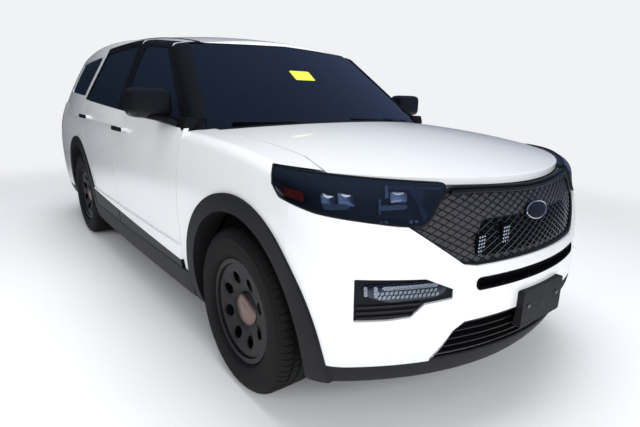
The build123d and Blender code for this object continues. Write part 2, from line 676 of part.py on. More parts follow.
GRILLE_BACK = 45.0
with BuildPart() as grille:
    add(front_prism(grown(grille_outline, -SEAT), NOSE_BACK, 2700))
    add(TUB_PANEL, mode=Mode.INTERSECT)
    add(tub(GRILLE_BACK), mode=Mode.SUBTRACT)
    add(hood_space, mode=Mode.SUBTRACT)
    add(lamp_space, mode=Mode.SUBTRACT)
    add(to_right(lamp_space), mode=Mode.SUBTRACT)
grille.part.label = "grille"
export_step(grille.part, "parts/grille.step")

VALANCE_LOW = BODY_LOW + 5.0
with BuildPart() as valances:
    add(block(BUMPER_JOINT + FIT, 2700, -1100, 1100, VALANCE_LOW, FASCIA_LOW - SEAT))
    add(block(-2700, -1990, -1100, 1100, VALANCE_LOW, FASCIA_LOW - SEAT))
    add(TUB_FACE, mode=Mode.INTERSECT)
    add(TUB_PANEL, mode=Mode.SUBTRACT)
    for arch in (front_arch, rear_arch):
        add(arch, mode=Mode.SUBTRACT)
        add(to_right(arch), mode=Mode.SUBTRACT)
valances.part.label = "valances"
export_step(valances.part, "parts/valances.step")

with BuildPart() as plate_bracket:
    add(block(2440, BRACKET_FACE, -BRACKET_HALF, BRACKET_HALF, BRACKET_LOW, BRACKET_HIGH))
    fillet(plate_bracket.edges().filter_by(Axis.X), 12)
    add(TUB_SEAT, mode=Mode.SUBTRACT)
    add(plate_holes(PLATE_HOLE), mode=Mode.SUBTRACT)
plate_bracket.part.label = "plate_bracket"
export_step(plate_bracket.part, "parts/plate_bracket.step")

# ---------------------------------------------------------------- black trim and wheel housings
TRIM_LIP = 100.0               # how deep the arch trim turns into the opening
TUB_LIP = hull(TUB, TRIM_LIP)


def arch_ring(axle, outer_radius, inner_radius):
    """The part of a ring round a wheel opening that lies above its straight lower edge."""
    with BuildPart() as ring:
        with BuildSketch(Plane.XZ.offset(-600)):
            with Locations((axle, ARCH_Z)):
                Circle(outer_radius)
                Circle(inner_radius, mode=Mode.SUBTRACT)
            with Locations((axle, VALANCE_LOW)):
                Rectangle(1400, 400, align=(Align.CENTER, Align.MAX), mode=Mode.SUBTRACT)
        extrude(amount=-600)
    return ring.part


def trim_for(axle):
    with BuildPart() as face:
        add(arch_ring(axle, ARCH_RADIUS + ARCH_TRIM, ARCH_RADIUS))
        add(TUB_PROUD, mode=Mode.INTERSECT)
        add(TUB_SEAT, mode=Mode.SUBTRACT)
    with BuildPart() as lip:
        add(arch_ring(axle, ARCH_RADIUS + ARCH_LIP, ARCH_RADIUS))
        add(TUB_PROUD, mode=Mode.INTERSECT)
        add(TUB_LIP, mode=Mode.SUBTRACT)
    with BuildPart() as trim:
        add(face.part)
        add(lip.part)
    return trim.part


with BuildPart() as arch_trim:
    for axle in (FRONT_AXLE, REAR_AXLE):
        add(trim_for(axle))
    mirror(about=Plane.XZ)
arch_trim.part.label = "arch_trim"
export_step(arch_trim.part, "parts/arch_trim.step")

with BuildPart() as sill_trim:
    add(block(REAR_AXLE + ARCH_RADIUS + ARCH_TRIM + 2, FRONT_AXLE - ARCH_RADIUS - ARCH_TRIM - 2, 800, 1100,
              BODY_LOW + 5, SILL_TOP))
    add(TUB_PROUD, mode=Mode.INTERSECT)
    add(TUB_SEAT, mode=Mode.SUBTRACT)
    mirror(about=Plane.XZ)
sill_trim.part.label = "sill_trim"
export_step(sill_trim.part, "parts/sill_trim.step")

LINER = 5.0                    # thickness of a wheel housing
LINER_OUT = 845.0
FRONT_LINER_IN, REAR_LINER_IN = 508.0, 648.0
liner_radius = ARCH_RADIUS + ARCH_LIP + 2 * SEAT


def liner(axle, near, low):
    """A half-round housing over a wheel, closed on its inner side down to a given height."""
    with BuildPart() as housing:
        with BuildSketch(Plane.XZ.offset(-near)):
            with Locations((axle, ARCH_Z)):
                Circle(liner_radius + LINER)
                Circle(liner_radius, mode=Mode.SUBTRACT)
                Rectangle(1400, 600, align=(Align.CENTER, Align.MAX), mode=Mode.SUBTRACT)
        extrude(amount=near - LINER_OUT)
        with BuildSketch(Plane.XZ.offset(-near)):
            with Locations((axle, ARCH_Z)):
                Circle(liner_radius + LINER)
            with Locations((axle, low)):
                Rectangle(1400, 800, align=(Align.CENTER, Align.MAX), mode=Mode.SUBTRACT)
        extrude(amount=LINER)
    return housing.part


STRUT_RADIUS = 45.0
with BuildPart() as wheel_liners:
    add(liner(FRONT_AXLE, FRONT_LINER_IN, 560))
    with BuildSketch(Plane.XY.offset(700)):
        with Locations((FRONT_AXLE, KINGPIN_Y)):
            Circle(STRUT_RADIUS + 10)
    extrude(amount=200, mode=Mode.SUBTRACT)
    add(liner(REAR_AXLE, REAR_LINER_IN, 480))
    mirror(about=Plane.XZ)
wheel_liners.part.label = "wheel_liners"
export_step(wheel_liners.part, "parts/wheel_liners.step")

# ---------------------------------------------------------------- floor, frame and running gear
KICK_UP = -820.0               # x where the low floor ends
KICK_RUN = 80.0
CARGO_END = -2395.0
STRIKER = 60.0                 # half width of the block that the liftgate closes on
with BuildPart() as floor_pan:
    with BuildSketch(Plane.XZ.offset(SILL_IN - SEAT)):
        with BuildLine():
            Polyline((BULKHEAD_X + FLOOR, FLOOR_TOP - FLOOR), (KICK_UP - 10, FLOOR_TOP - FLOOR),
                     (KICK_UP - KICK_RUN - 10, CARGO_FLOOR - FLOOR), (CARGO_END, CARGO_FLOOR - FLOOR),
                     (CARGO_END, BUMPER_TOP - 5), (CARGO_END + FLOOR, BUMPER_TOP - 5),
                     (CARGO_END + FLOOR, CARGO_FLOOR), (KICK_UP - KICK_RUN, CARGO_FLOOR), (KICK_UP, FLOOR_TOP),
                     (BULKHEAD_X, FLOOR_TOP), (BULKHEAD_X, 1100), (BULKHEAD_X + FLOOR, 1100), close=True)
        make_face()
    extrude(amount=-2 * (SILL_IN - SEAT))
    add(block(-2500, CARGO_END + 10, -STRIKER, STRIKER, CARGO_FLOOR, GATE_LOW + 2 * STRIKER / 3))
    add(hull(TUB, DOOR_DEPTH + SEAT), mode=Mode.INTERSECT)
    wheel_space = side_disc(REAR_AXLE, liner_radius + LINER + SEAT, REAR_LINER_IN - LINER - SEAT, 1100, ARCH_Z)
    add(wheel_space, mode=Mode.SUBTRACT)
    add(to_right(wheel_space), mode=Mode.SUBTRACT)
floor_pan.part.label = "floor_pan"
export_step(floor_pan.part, "parts/floor_pan.step")

RAIL_IN, RAIL_OUT = 410.0, 490.0
RAIL_LOW, RAIL_HIGH = 412.0, 500.0
TOWER = 70.0                   # half length of a strut tower
TOWER_TOP = 905.0
tower_low = ARCH_Z + liner_radius + LINER
with BuildPart() as hood_stop:
    add(rod((2130, 430, RAIL_HIGH - 5), (2130, 430, 1200), 12))
    add(TUB_PANEL.moved(Location((0, 0, -SEAT))), mode=Mode.INTERSECT)
with BuildPart() as front_frame:
    add(block(BULKHEAD_X + FLOOR + SEAT, 2330, RAIL_IN, RAIL_OUT, RAIL_LOW, RAIL_HIGH))
    add(block(FRONT_AXLE - TOWER, FRONT_AXLE + TOWER, RAIL_OUT - 20, RAIL_OUT, RAIL_LOW, TOWER_TOP))
    add(block(FRONT_AXLE - TOWER, FRONT_AXLE + TOWER, RAIL_OUT - 20, 830, tower_low - 60, TOWER_TOP))
    add(side_disc(FRONT_AXLE, liner_radius + LINER + SEAT, RAIL_OUT + 5, 1000, ARCH_Z), mode=Mode.SUBTRACT)
    add(hood_stop.part)
    mirror(about=Plane.XZ)
    add(block(2160, 2260, -RAIL_OUT, RAIL_OUT, 340, 380))
    add(block(2160, 2260, RAIL_IN, RAIL_OUT, 340, RAIL_HIGH))
    add(block(2160, 2260, -RAIL_OUT, -RAIL_IN, 340, RAIL_HIGH))
    add(block(2270, 2330, -545, 545, 470, 590))
front_frame.part.label = "front_frame"
export_step(front_frame.part, "parts/front_frame.step")

SUBFRAME_LOW, SUBFRAME_HIGH = 235.0, 300.0
with BuildPart() as engine_block:
    add(block(1480, 2020, -330, 330, SUBFRAME_HIGH + SEAT, 930, 20))
engine_block.part.label = "engine_block"
export_step(engine_block.part, "parts/engine_block.step")

with BuildPart() as radiator:
    add(block(2180, 2240, -380, 380, 380 + SEAT, 940))
radiator.part.label = "radiator"
export_step(radiator.part, "parts/radiator.step")

CARRIER_IN, CARRIER_OUT = 745.0, HALF_TRACK - DISC_OFFSET - 6.0
ARM_TOP = 245.0
KNUCKLE_TOP = 806.0
SHAFT_RADIUS = 16.0
PROP_Z = 262.0
with BuildPart() as driveline:
    add(block(1180, 1480 - SEAT, -150, 150, PROP_Z - 20, 560, 15))
    add(rod((1200, 0, PROP_Z), (-800, 0, PROP_Z), 25))
    add(rod((-780, 0, PROP_Z - 4), (-1300, 0, HUB_Z), 25))
    add(block(-1510, -1280, -110, 110, SUBFRAME_HIGH + SEAT, 470, 15))
    add(side_disc(REAR_AXLE, SHAFT_RADIUS, -715, 715))
driveline.part.label = "driveline"
export_step(driveline.part, "parts/driveline.step")

with BuildPart() as half_shafts:
    add(side_disc(FRONT_AXLE, SHAFT_RADIUS, 330 + SEAT, 660))
    add(side_disc(FRONT_AXLE, 38, 650, 715))
    mirror(about=Plane.XZ)
half_shafts.part.label = "half_shafts"
export_step(half_shafts.part, "parts/half_shafts.step")


def hub_carrier(axle):
    """The block that carries a wheel's bearing, with the brake caliper on its rear side."""
    with BuildPart() as carrier:
        add(block(axle - 40, axle + 40, CARRIER_IN, CARRIER_OUT, HUB_Z - 90, HUB_Z + 90, 6))
        add(block(axle - 190, axle - 30, CARRIER_IN + 20, CARRIER_OUT - 8, HUB_Z - 30, HUB_Z + 30))
        add(block(axle - 205, axle - 120, CARRIER_OUT - 20, HALF_TRACK + 10, HUB_Z - 55, HUB_Z + 55, 6))
        add(side_disc(axle, DISC_RADIUS + 5, HALF_TRACK - DISC_OFFSET - 5,
                      HALF_TRACK - DISC_OFFSET + DISC_THICK + 5),
            mode=Mode.SUBTRACT)
        with BuildSketch(Plane.XZ.offset(-700)):
            with Locations((axle, HUB_Z)):
                Circle(400)
                Circle(188, mode=Mode.SUBTRACT)
        extrude(amount=-300, mode=Mode.SUBTRACT)
        add(side_disc(axle, 28, CARRIER_OUT - 10, HALF_TRACK - DISC_OFFSET - SEAT))
    return carrier.part


with BuildPart() as knuckle:
    add(hub_carrier(FRONT_AXLE))
    with BuildSketch(Plane.YZ.offset(FRONT_AXLE - 22)):
        with BuildLine():
            Polyline((CARRIER_IN, HUB_Z + 60), (CARRIER_IN, HUB_Z + 105), (693, 560), (693, KNUCKLE_TOP),
                     (775, KNUCKLE_TOP), (775, 784),
                     (717, 784), (717, 568), (772, HUB_Z + 110), (772, HUB_Z + 60), close=True)
        make_face()
    extrude(amount=44)
    add(block(FRONT_AXLE - 22, FRONT_AXLE + 22, CARRIER_IN, 775, ARM_TOP + 5, HUB_Z - 60))
knuckle.part.label = "knuckle_left"
export_step(knuckle.part, "parts/knuckle_left.step")
right_knuckle = to_right(knuckle.part)
right_knuckle.label = "knuckle_right"
export_step(right_knuckle, "parts/knuckle_right.step")

strut_top = ARCH_Z + sqrt((liner_radius + LINER + SEAT) ** 2 - STRUT_RADIUS**2) - SEAT
with BuildPart() as front_suspension:
    add(block(1510, 1760, -400, 400, SUBFRAME_LOW, SUBFRAME_HIGH, 10))
    for side in (1, -1):
        add(rod((1540, side * 380, 262), (FRONT_AXLE, side * KINGPIN_Y, 230), 15))
        add(rod((1730, side * 380, 262), (FRONT_AXLE, side * KINGPIN_Y, 230), 15))
        add(rod((FRONT_AXLE, side * KINGPIN_Y, 225), (FRONT_AXLE, side * KINGPIN_Y, ARM_TOP + 5 - SEAT), 18))
        add(rod((FRONT_AXLE, side * KINGPIN_Y, KNUCKLE_TOP + SEAT),
                (FRONT_AXLE, side * KINGPIN_Y, strut_top), STRUT_RADIUS))
        add(block(1515, 1565, *sorted((side * 370, side * 440)), SUBFRAME_LOW + 10, RAIL_LOW - SEAT))
front_suspension.part.label = "front_suspension"
export_step(front_suspension.part, "parts/front_suspension.step")

with BuildPart() as rear_suspension:
    add(block(-1560, -1230, -400, 400, SUBFRAME_LOW, SUBFRAME_HIGH, 10))
    for side in (1, -1):
        for x in (-1540, -1250):
            add(rod((x, side * 380, 262), (REAR_AXLE, side * (CARRIER_IN + 20), 262), 15))
        with BuildSketch(Plane.XY.offset(255)):
            with Locations((REAR_AXLE - 60, side * 560)):
                Circle(28)
        extrude(amount=CARGO_FLOOR - FLOOR - SEAT - 255)
    add(hub_carrier(REAR_AXLE))
    add(block(REAR_AXLE - 22, REAR_AXLE + 22, CARRIER_IN, 785, 250, HUB_Z - 60))
    add(to_right(hub_carrier(REAR_AXLE)))
    add(block(REAR_AXLE - 22, REAR_AXLE + 22, -785, -CARRIER_IN, 250, HUB_Z - 60))
rear_suspension.part.label = "rear_suspension"
export_step(rear_suspension.part, "parts/rear_suspension.step")

PIPE_Y = -250.0
with BuildPart() as exhaust:
    with BuildLine() as pipe_run:
        FilletPolyline((1160, PIPE_Y, PROP_Z), (-900, PIPE_Y, PROP_Z), (-1060, PIPE_Y, 332), (-1780, PIPE_Y, 332),
                       radius=120)
    with BuildSketch(Plane(origin=pipe_run.line @ 0, z_dir=pipe_run.line % 0)):
        Circle(26)
    sweep()
    add(block(-2230, -1760, -520, 20, 310, 470, 30))
    add(rod((-2200, -400, 345), (-2400, -400, 335), 26))
    add(rod((-2000, -400, 465), (-2000, -400, CARGO_FLOOR - FLOOR - SEAT), 10))
exhaust.part.label = "exhaust"
export_step(exhaust.part, "parts/exhaust.step")

with BuildPart() as fuel_tank:
    add(block(-780, 100, 60, 560, 212, FLOOR_TOP - FLOOR - SEAT, 20))
fuel_tank.part.label = "fuel_tank"
export_step(fuel_tank.part, "parts/fuel_tank.step")

# ---------------------------------------------------------------- cabin fittings
DASH_FACE = 760.0
with BuildPart() as dashboard:
    with BuildSketch(Plane.XZ.offset(770)):
        with BuildLine():
            Polyline((BULKHEAD_X - SEAT, 640), (BULKHEAD_X - SEAT, 1100), (1000, 1135), (810, 1080), (DASH_FACE, 1040),
                     (DASH_FACE, 900), (820, 820), (860, 640), close=True)
        make_face()
    extrude(amount=-1540)
    add(block(300, 900, -110, 110, FLOOR_TOP + SEAT, 660, 10))
dashboard.part.label = "dashboard"
export_step(dashboard.part, "parts/dashboard.step")

WHEEL_CENTRE = (620.0, 390.0, 1010.0)
WHEEL_TILT = 22.0
wheel_plane = Plane(origin=WHEEL_CENTRE, z_dir=(-cos(radians(WHEEL_TILT)), 0, sin(radians(WHEEL_TILT))))
with BuildPart() as steering_wheel:
    with BuildSketch(Plane(origin=WHEEL_CENTRE, x_dir=wheel_plane.x_dir, z_dir=wheel_plane.y_dir)):
        with Locations((180, 0)):
            Circle(15)
    revolve(axis=Axis(WHEEL_CENTRE, wheel_plane.z_dir))
    with BuildSketch(wheel_plane.offset(-45)):
        Circle(60)
    extrude(amount=50)
    with BuildSketch(wheel_plane.offset(-25)):
        Rectangle(34, 360)
    extrude(amount=14)
    with BuildSketch(wheel_plane.offset(-300)):
        Circle(30)
    extrude(amount=270)
    add(block(DASH_FACE - SEAT, 1200, 200, 600, 700, 1100), mode=Mode.SUBTRACT)
steering_wheel.part.label = "steering_wheel"
export_step(steering_wheel.part, "parts/steering_wheel.step")

SEAT_ROUND = 30.0
front_seat_outline = polygon(
    [(430, FLOOR_TOP + SEAT), (450, 560), (430, 640), (10, 600), (-60, 760), (-190, 1240), (-205, 1440), (-300, 1440),
     (-310, 1260), (-250, 1000), (-150, 560), (-120, FLOOR_TOP + SEAT)], SEAT_ROUND)
with BuildPart() as front_seats:
    add(side_prism(front_seat_outline, 140, 640))
    mirror(about=Plane.XZ)
front_seats.part.label = "front_seats"
export_step(front_seats.part, "parts/front_seats.step")

rear_seat_outline = polygon(
    [(-400, FLOOR_TOP + SEAT), (-370, 560), (-400, 650), (-760, 610), (-830, 720), (-960, 1290), (-1050, 1290),
     (-980, 900), (-905, 670), (-880, 600), (-800, FLOOR_TOP + SEAT)], SEAT_ROUND / 2)
with BuildPart() as rear_seat:
    add(side_prism(rear_seat_outline, -620, 620))
rear_seat.part.label = "rear_seat"
export_step(rear_seat.part, "parts/rear_seat.step")

# ---------------------------------------------------------------- road wheels
# Wheel profiles: radius, offset outboard of the centre plane
VENTS = 8
VENT_RADIUS = 16.0
VENT_CIRCLE = 148.0

half_tyre = TYRE_WIDTH / 2
with BuildPart() as tyre:
    with BuildSketch(Plane.XY):
        with BuildLine():
            Polyline((226.3, -95.6), (240.4, -97.6), (252, -112), (262, -108))
            ThreePointArc((262, -108), (312, -half_tyre), (352, -116))
            ThreePointArc((352, -116), (372, -104), (TYRE_RADIUS - 4, -88))
            ThreePointArc((TYRE_RADIUS - 4, -88), (TYRE_RADIUS, 0), (TYRE_RADIUS - 4, 88))
            ThreePointArc((TYRE_RADIUS - 4, 88), (372, 104), (352, 116))
            ThreePointArc((352, 116), (312, half_tyre), (262, 108))
            Polyline((262, 108), (252, 112), (240.4, 95.6), (226.3, 93.6), (226.3, -95.6))
        make_face()
    revolve(axis=Axis.Y)
with BuildPart() as rim:
    with BuildSketch(Plane.XY):
        with BuildLine():
            Polyline((RIM_FLANGE, -106), (RIM_FLANGE, -98), (226, -96), (207, -45), (207, 20), (226, 94),
                     (RIM_FLANGE, 96), (RIM_FLANGE, 106), (218, 106), (199, 34), (176, 52), (150, 66), (120, 70),
                     (95, 58), (85, 46), (44, 46), (38, 66), (0, 72), (0, -45), (DISC_RADIUS, -45),
                     (DISC_RADIUS, -20), (60, -20), (60, 34), (88, 34), (100, 48), (122, 60), (148, 56), (172, 42),
                     (199, 16), (199, -42), (218, -98), (218, -106), close=True)
        make_face()
    revolve(axis=Axis.Y)
    with BuildSketch(Plane.XZ.offset(-30)):
        with PolarLocations(VENT_CIRCLE, VENTS):
            Circle(VENT_RADIUS)
    extrude(amount=-60, mode=Mode.SUBTRACT)
for end, axle in (("front", FRONT_AXLE), ("rear", REAR_AXLE)):
    for kind, wheel_piece in (("tyre", tyre.part), ("rim", rim.part)):
        left_piece = wheel_piece.moved(Location((axle, HALF_TRACK, HUB_Z)))
        left_piece.label = f"{kind}_{end}_left"
        export_step(left_piece, f"parts/{kind}_{end}_left.step")
        right_piece = to_right(left_piece)
        right_piece.label = f"{kind}_{end}_right"
        export_step(right_piece, f"parts/{kind}_{end}_right.step")
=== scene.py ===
# %% [markdown]
# # A police patrol car
# The car's panels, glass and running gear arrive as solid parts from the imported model. This lesson gives them
# their finishes and adds what is too fine to draw as solids: tyre tread, the grille's lattice, the lamps'
# insides, seats, wipers and small trim. Everything is in metres, +X forward, +Y to the car's left, +Z up.

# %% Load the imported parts
import math
import bmesh
import bpy
import numpy as np
from mathutils import Matrix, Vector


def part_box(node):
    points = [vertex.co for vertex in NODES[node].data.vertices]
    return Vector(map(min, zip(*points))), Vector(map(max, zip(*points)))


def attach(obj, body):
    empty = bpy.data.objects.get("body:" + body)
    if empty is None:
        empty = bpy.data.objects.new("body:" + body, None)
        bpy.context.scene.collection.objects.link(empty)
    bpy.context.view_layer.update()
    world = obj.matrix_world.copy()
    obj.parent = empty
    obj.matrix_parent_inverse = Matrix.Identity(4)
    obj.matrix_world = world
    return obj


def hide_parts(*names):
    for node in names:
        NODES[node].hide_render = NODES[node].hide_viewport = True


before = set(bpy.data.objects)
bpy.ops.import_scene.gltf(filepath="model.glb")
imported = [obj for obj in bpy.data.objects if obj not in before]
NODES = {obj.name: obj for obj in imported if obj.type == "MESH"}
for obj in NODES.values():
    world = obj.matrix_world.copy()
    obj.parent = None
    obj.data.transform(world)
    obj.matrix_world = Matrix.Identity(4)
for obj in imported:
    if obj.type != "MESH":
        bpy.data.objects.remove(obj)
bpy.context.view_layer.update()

# %% [markdown]
# ## Camera
# A car's face is drawn best from about shoulder height, near enough for the near wheel to look larger than
# the far one. Three angles say where the camera looks, and the picture's middle is a little left of the
# lens's own axis, which is what a shift does.

# %% Camera
EYE = (3.316, -1.833, 1.325)
YAW, PITCH, ROLL = np.radians((140.93, -14.49, 1.42))
SENSOR = 36.0
FOCAL = 25.44
ahead = np.array([math.cos(YAW) * math.cos(PITCH), math.sin(YAW) * math.cos(PITCH), math.sin(PITCH)])
level = np.array([math.sin(YAW), -math.cos(YAW), 0.0])
upright = np.cross(level, ahead)
right = math.cos(ROLL) * level + math.sin(ROLL) * upright
above = -math.sin(ROLL) * level + math.cos(ROLL) * upright
lens = bpy.data.cameras.new("camera")
lens.sensor_width = SENSOR
lens.lens = FOCAL
lens.shift_x = -0.0102
lens.clip_start = 0.05
camera = bpy.data.objects.new("camera", lens)
turned = Matrix(np.stack([right, above, -ahead], 1).tolist()).to_4x4()
camera.matrix_world = Matrix.Translation(EYE) @ turned
bpy.context.scene.collection.objects.link(camera)
bpy.context.scene.camera = camera
print("camera at", EYE)

# %% [markdown]
# ## Finishes
# Each finish is one Principled shader. A real surface is never one even colour, so a fine noise in the
# part's own coordinates shifts the colour a little, and a second one gives the surface its texture. The
# sizes are real ones: orange peel on paint is a few millimetres across, the grain of moulded plastic about
# one.

# %% How a finish is made
MM = 0.001


def linear(text):
    """An sRGB hex colour as linear values."""
    share = np.array([int(text[k:k + 2], 16) for k in (0, 2, 4)]) / 255.0
    value = np.where(share <= 0.04045, share / 12.92, ((share + 0.055) / 1.055) ** 2.4)
    return (*value.tolist(), 1.0)


def add_node(tree, kind, settings=None, links=None):
    """One shader node with its settings, and its sockets given as values or as the sockets they come from."""
    made = tree.nodes.new(kind)
    for key, value in (settings or {}).items():
        setattr(made, key, value)
    for key, value in (links or {}).items():
        if isinstance(value, bpy.types.NodeSocket):
            tree.links.new(value, made.inputs[key])
        else:
            made.inputs[key].default_value = value
    return made


def finish(name, colour, shade=None, size=4.0, bump=0.0, cloudy=0.35, **sockets):
    """A material: two shades mixed by noise, a bump in mm with its grain's size in mm, and shader sockets."""
    made = bpy.data.materials.new(name)
    made.use_nodes = True
    tree = made.node_tree
    shader = tree.nodes["Principled BSDF"]
    place = add_node(tree, "ShaderNodeTexCoord")
    cloud = add_node(tree, "ShaderNodeTexNoise",
                     links={"Vector": place.outputs["Object"], "Scale": 6.0, "Detail": 4.0})
    mixed = add_node(tree, "ShaderNodeMix", {"data_type": "RGBA"},
                     {0: cloud.outputs["Fac"], 6: linear(colour), 7: linear(shade or colour)})
    tree.links.new(mixed.outputs[2], shader.inputs["Base Color"])
    if bump:
        grain = add_node(tree, "ShaderNodeTexNoise",
                         links={"Vector": place.outputs["Object"], "Scale": 1000.0 / size, "Detail": 2.0})
        height = add_node(tree, "ShaderNodeBump",
                          links={"Height": grain.outputs["Fac"], "Distance": bump * MM, "Strength": cloudy})
        tree.links.new(height.outputs["Normal"], shader.inputs["Normal"])
    for key, value in sockets.items():
        shader.inputs[key.replace("_", " ")].default_value = value
    return made


def dress(material, *names):
    for name in names:
        for holder in NODES[name].material_slots:
            holder.material = material


enamel = finish("enamel_white", "F1F2F3", "EBEDEF", 3.0, 0.05, 0.2, Roughness=0.32, Coat_Weight=0.8,
                Coat_Roughness=0.04)
moulded = finish("polypropylene_black", "161618", "101012", 1.2, 0.12, 0.5, Roughness=0.6,
                 Specular_IOR_Level=0.3)
satin = finish("abs_satin_black", "131314", "0E0E10", 1.0, 0.05, 0.3, Roughness=0.38, Specular_IOR_Level=0.4)
# gloss also colours the grille ribs. Over the grey pads their black is painted groove shade.
gloss = finish("acrylic_gloss_black", "0B0B0D", "101013", Roughness=0.1, Coat_Weight=0.5)
mesh_grey = finish("abs_grille_grey", "4A494B", "3E3D3F", 1.5, 0.1, 0.5, Roughness=0.55)
rubber = finish("tyre_rubber", "111112", "171716", 1.6, 0.15, 0.5, Roughness=0.8, Specular_IOR_Level=0.25)
# matt_black also serves as painted shade: the plate behind the grille's open middle cells.
matt_black = finish("matt_black", "060607", "08080A", Roughness=0.9, Specular_IOR_Level=0.08)
seal = finish("epdm_rubber", "0E0E0F", "151516", 1.0, 0.05, Roughness=0.6)
wheel_paint = finish("wheel_enamel_black", "0C0C0D", "111112", 2.0, 0.05, 0.3, Roughness=0.45,
                     Specular_IOR_Level=0.25)
cap_steel = finish("bronzed_steel", "94807A", "6E5D58", 9.0, 0.3, 0.8, Metallic=1.0, Roughness=0.36)
bright = finish("vacuum_chrome", "E4E6E8", "D5D8DB", Metallic=1.0, Roughness=0.09)
dark_chrome = finish("dark_chrome", "4D525A", "3A3F47", Metallic=1.0, Roughness=0.22)
zinc = finish("zinc_plated_steel", "8C8D8B", "73746F", 3.0, 0.1, Metallic=1.0, Roughness=0.45)
primer = finish("electrocoated_steel", "2B2C2E", "3A3A39", 5.0, 0.1, Metallic=0.4, Roughness=0.5)
cast = finish("cast_aluminium", "8A8B8C", "6D6E70", 2.5, 0.4, 0.6, Metallic=0.9, Roughness=0.5)
core = finish("radiator_aluminium", "3A3C3F", "24262A", 2.0, 0.3, 0.6, Metallic=0.7, Roughness=0.45)
pipe_steel = finish("exhaust_steel", "8B837A", "6A625B", 4.0, 0.1, Metallic=1.0, Roughness=0.42)
tank_plastic = finish("hdpe_tank", "1E1F20", "29292B", 2.0, 0.1, Roughness=0.6)
dash_skin = finish("slush_moulded_dash", "1B1C20", "25262B", 1.5, 0.25, 0.6, Roughness=0.62)
carpet = finish("needled_carpet", "1F2022", "2B2C2F", 2.0, 0.8, 0.9, Roughness=0.95)
label_paper = finish("paper_label", "E6EE4E", "DDE648", Roughness=0.6)
blank_plate = finish("blank_plate_enamel", "D9DBDD", "D0D3D6", Roughness=0.35)
print("finishes:", len(bpy.data.materials))

# %% [markdown]
# Glass and lamp covers let light through. Side glass on such a car is tinted nearly black, so its colour does
# the work. The cover of a lamp is thin clear polycarbonate.

# %% Clear and tinted finishes
tinted = finish("tinted_glass", "3A4A66", "3A4A66", Roughness=0.02, IOR=1.52, Transmission_Weight=0.85,
                Specular_IOR_Level=1.0)
clear_glass = finish("laminated_glass", "5F7090", "5F7090", Roughness=0.01, IOR=1.52, Transmission_Weight=1.0)
lamp_cover = finish("polycarbonate_clear", "E9EEF4", "E9EEF4", Roughness=0.02, IOR=1.45,
                    Transmission_Weight=1.0)
amber = finish("acrylic_amber", "B5361F", "8E1F12", 6.0, 0.3, 0.8, Roughness=0.18, Transmission_Weight=0.25)
ruby = finish("acrylic_red", "8C0D12", "6E070C", 8.0, 0.3, 0.6, Roughness=0.12, Coat_Weight=0.6)
crystal = finish("prismatic_lens", "A9B2BC", "6E7883", 5.0, 0.8, 0.9, Roughness=0.12, Metallic=0.75)

# %% [markdown]
# Some parts change finish across one pressing: a door is white below the glass, black round it and black
# again along the sill, and its pull is black too. Where the change is a straight line on the car, a test on
# the part's own coordinates places it exactly, with no painting by hand.

# %% Two finishes on one part


def two_tone(name, tests):
    """White enamel, black wherever any test holds: weights of x, |y| and z, their limit, and a least z."""
    made = finish(name, "F1F2F3", "EBEDEF", Roughness=0.32, Coat_Weight=0.8, Coat_Roughness=0.04)
    tree = made.node_tree
    shader = tree.nodes["Principled BSDF"]

    def worked(operation, *values):
        sockets = dict(enumerate(values))
        return add_node(tree, "ShaderNodeMath", {"operation": operation}, sockets).outputs[0]

    place = add_node(tree, "ShaderNodeTexCoord")
    apart = add_node(tree, "ShaderNodeSeparateXYZ", links={0: place.outputs["Object"]})
    axes = (apart.outputs["X"], worked("ABSOLUTE", apart.outputs["Y"]), apart.outputs["Z"])
    black = None
    for weights, limit, lowest in tests:
        total = None
        for axis, weight in zip(axes, weights):
            part = worked("MULTIPLY", axis, weight)
            total = part if total is None else worked("ADD", total, part)
        over = worked("GREATER_THAN", total, limit)
        both = worked("MULTIPLY", over, worked("GREATER_THAN", apart.outputs["Z"], lowest))
        black = both if black is None else worked("MAXIMUM", black, both)
    paint = shader.inputs["Base Color"].links[0].from_socket
    skin = add_node(tree, "ShaderNodeMix", {"data_type": "RGBA"}, {0: black, 6: paint, 7: linear("101012")})
    tree.links.new(skin.outputs[2], shader.inputs["Base Color"])
    for socket, on_white, on_black in (("Coat Weight", 0.8, 0.0), ("Roughness", 0.32, 0.5),
                                       ("Specular IOR Level", 0.5, 0.25)):
        change = add_node(tree, "ShaderNodeMapRange", links={0: black, 3: on_white, 4: on_black})
        tree.links.new(change.outputs[0], shader.inputs[socket])
    return made


BELT_SLOPE = 100.0 / 2100.0
BELT_HEIGHT = 1.150 + BELT_SLOPE
SILL_TRIM_TOP = 0.490
SILL_FALL = 0.042
PULL_FACE = 1.0035
door_tests = [((BELT_SLOPE, 0, 1), BELT_HEIGHT, 1.0), ((-SILL_FALL, 0, -1), -SILL_TRIM_TOP, 0.0),
              ((0, 1, 0), PULL_FACE, 0.9)]
door_finish = two_tone("enamel_white_black_frames", door_tests)
PILLAR_START = 0.385
rail_finish = two_tone("enamel_white_black_pillar", [((1, 0, 0), PILLAR_START, 1.0)])

# %% [markdown]
# ## Dressing the solid parts
# Every solid part gets the finish of the real one, named by its part.

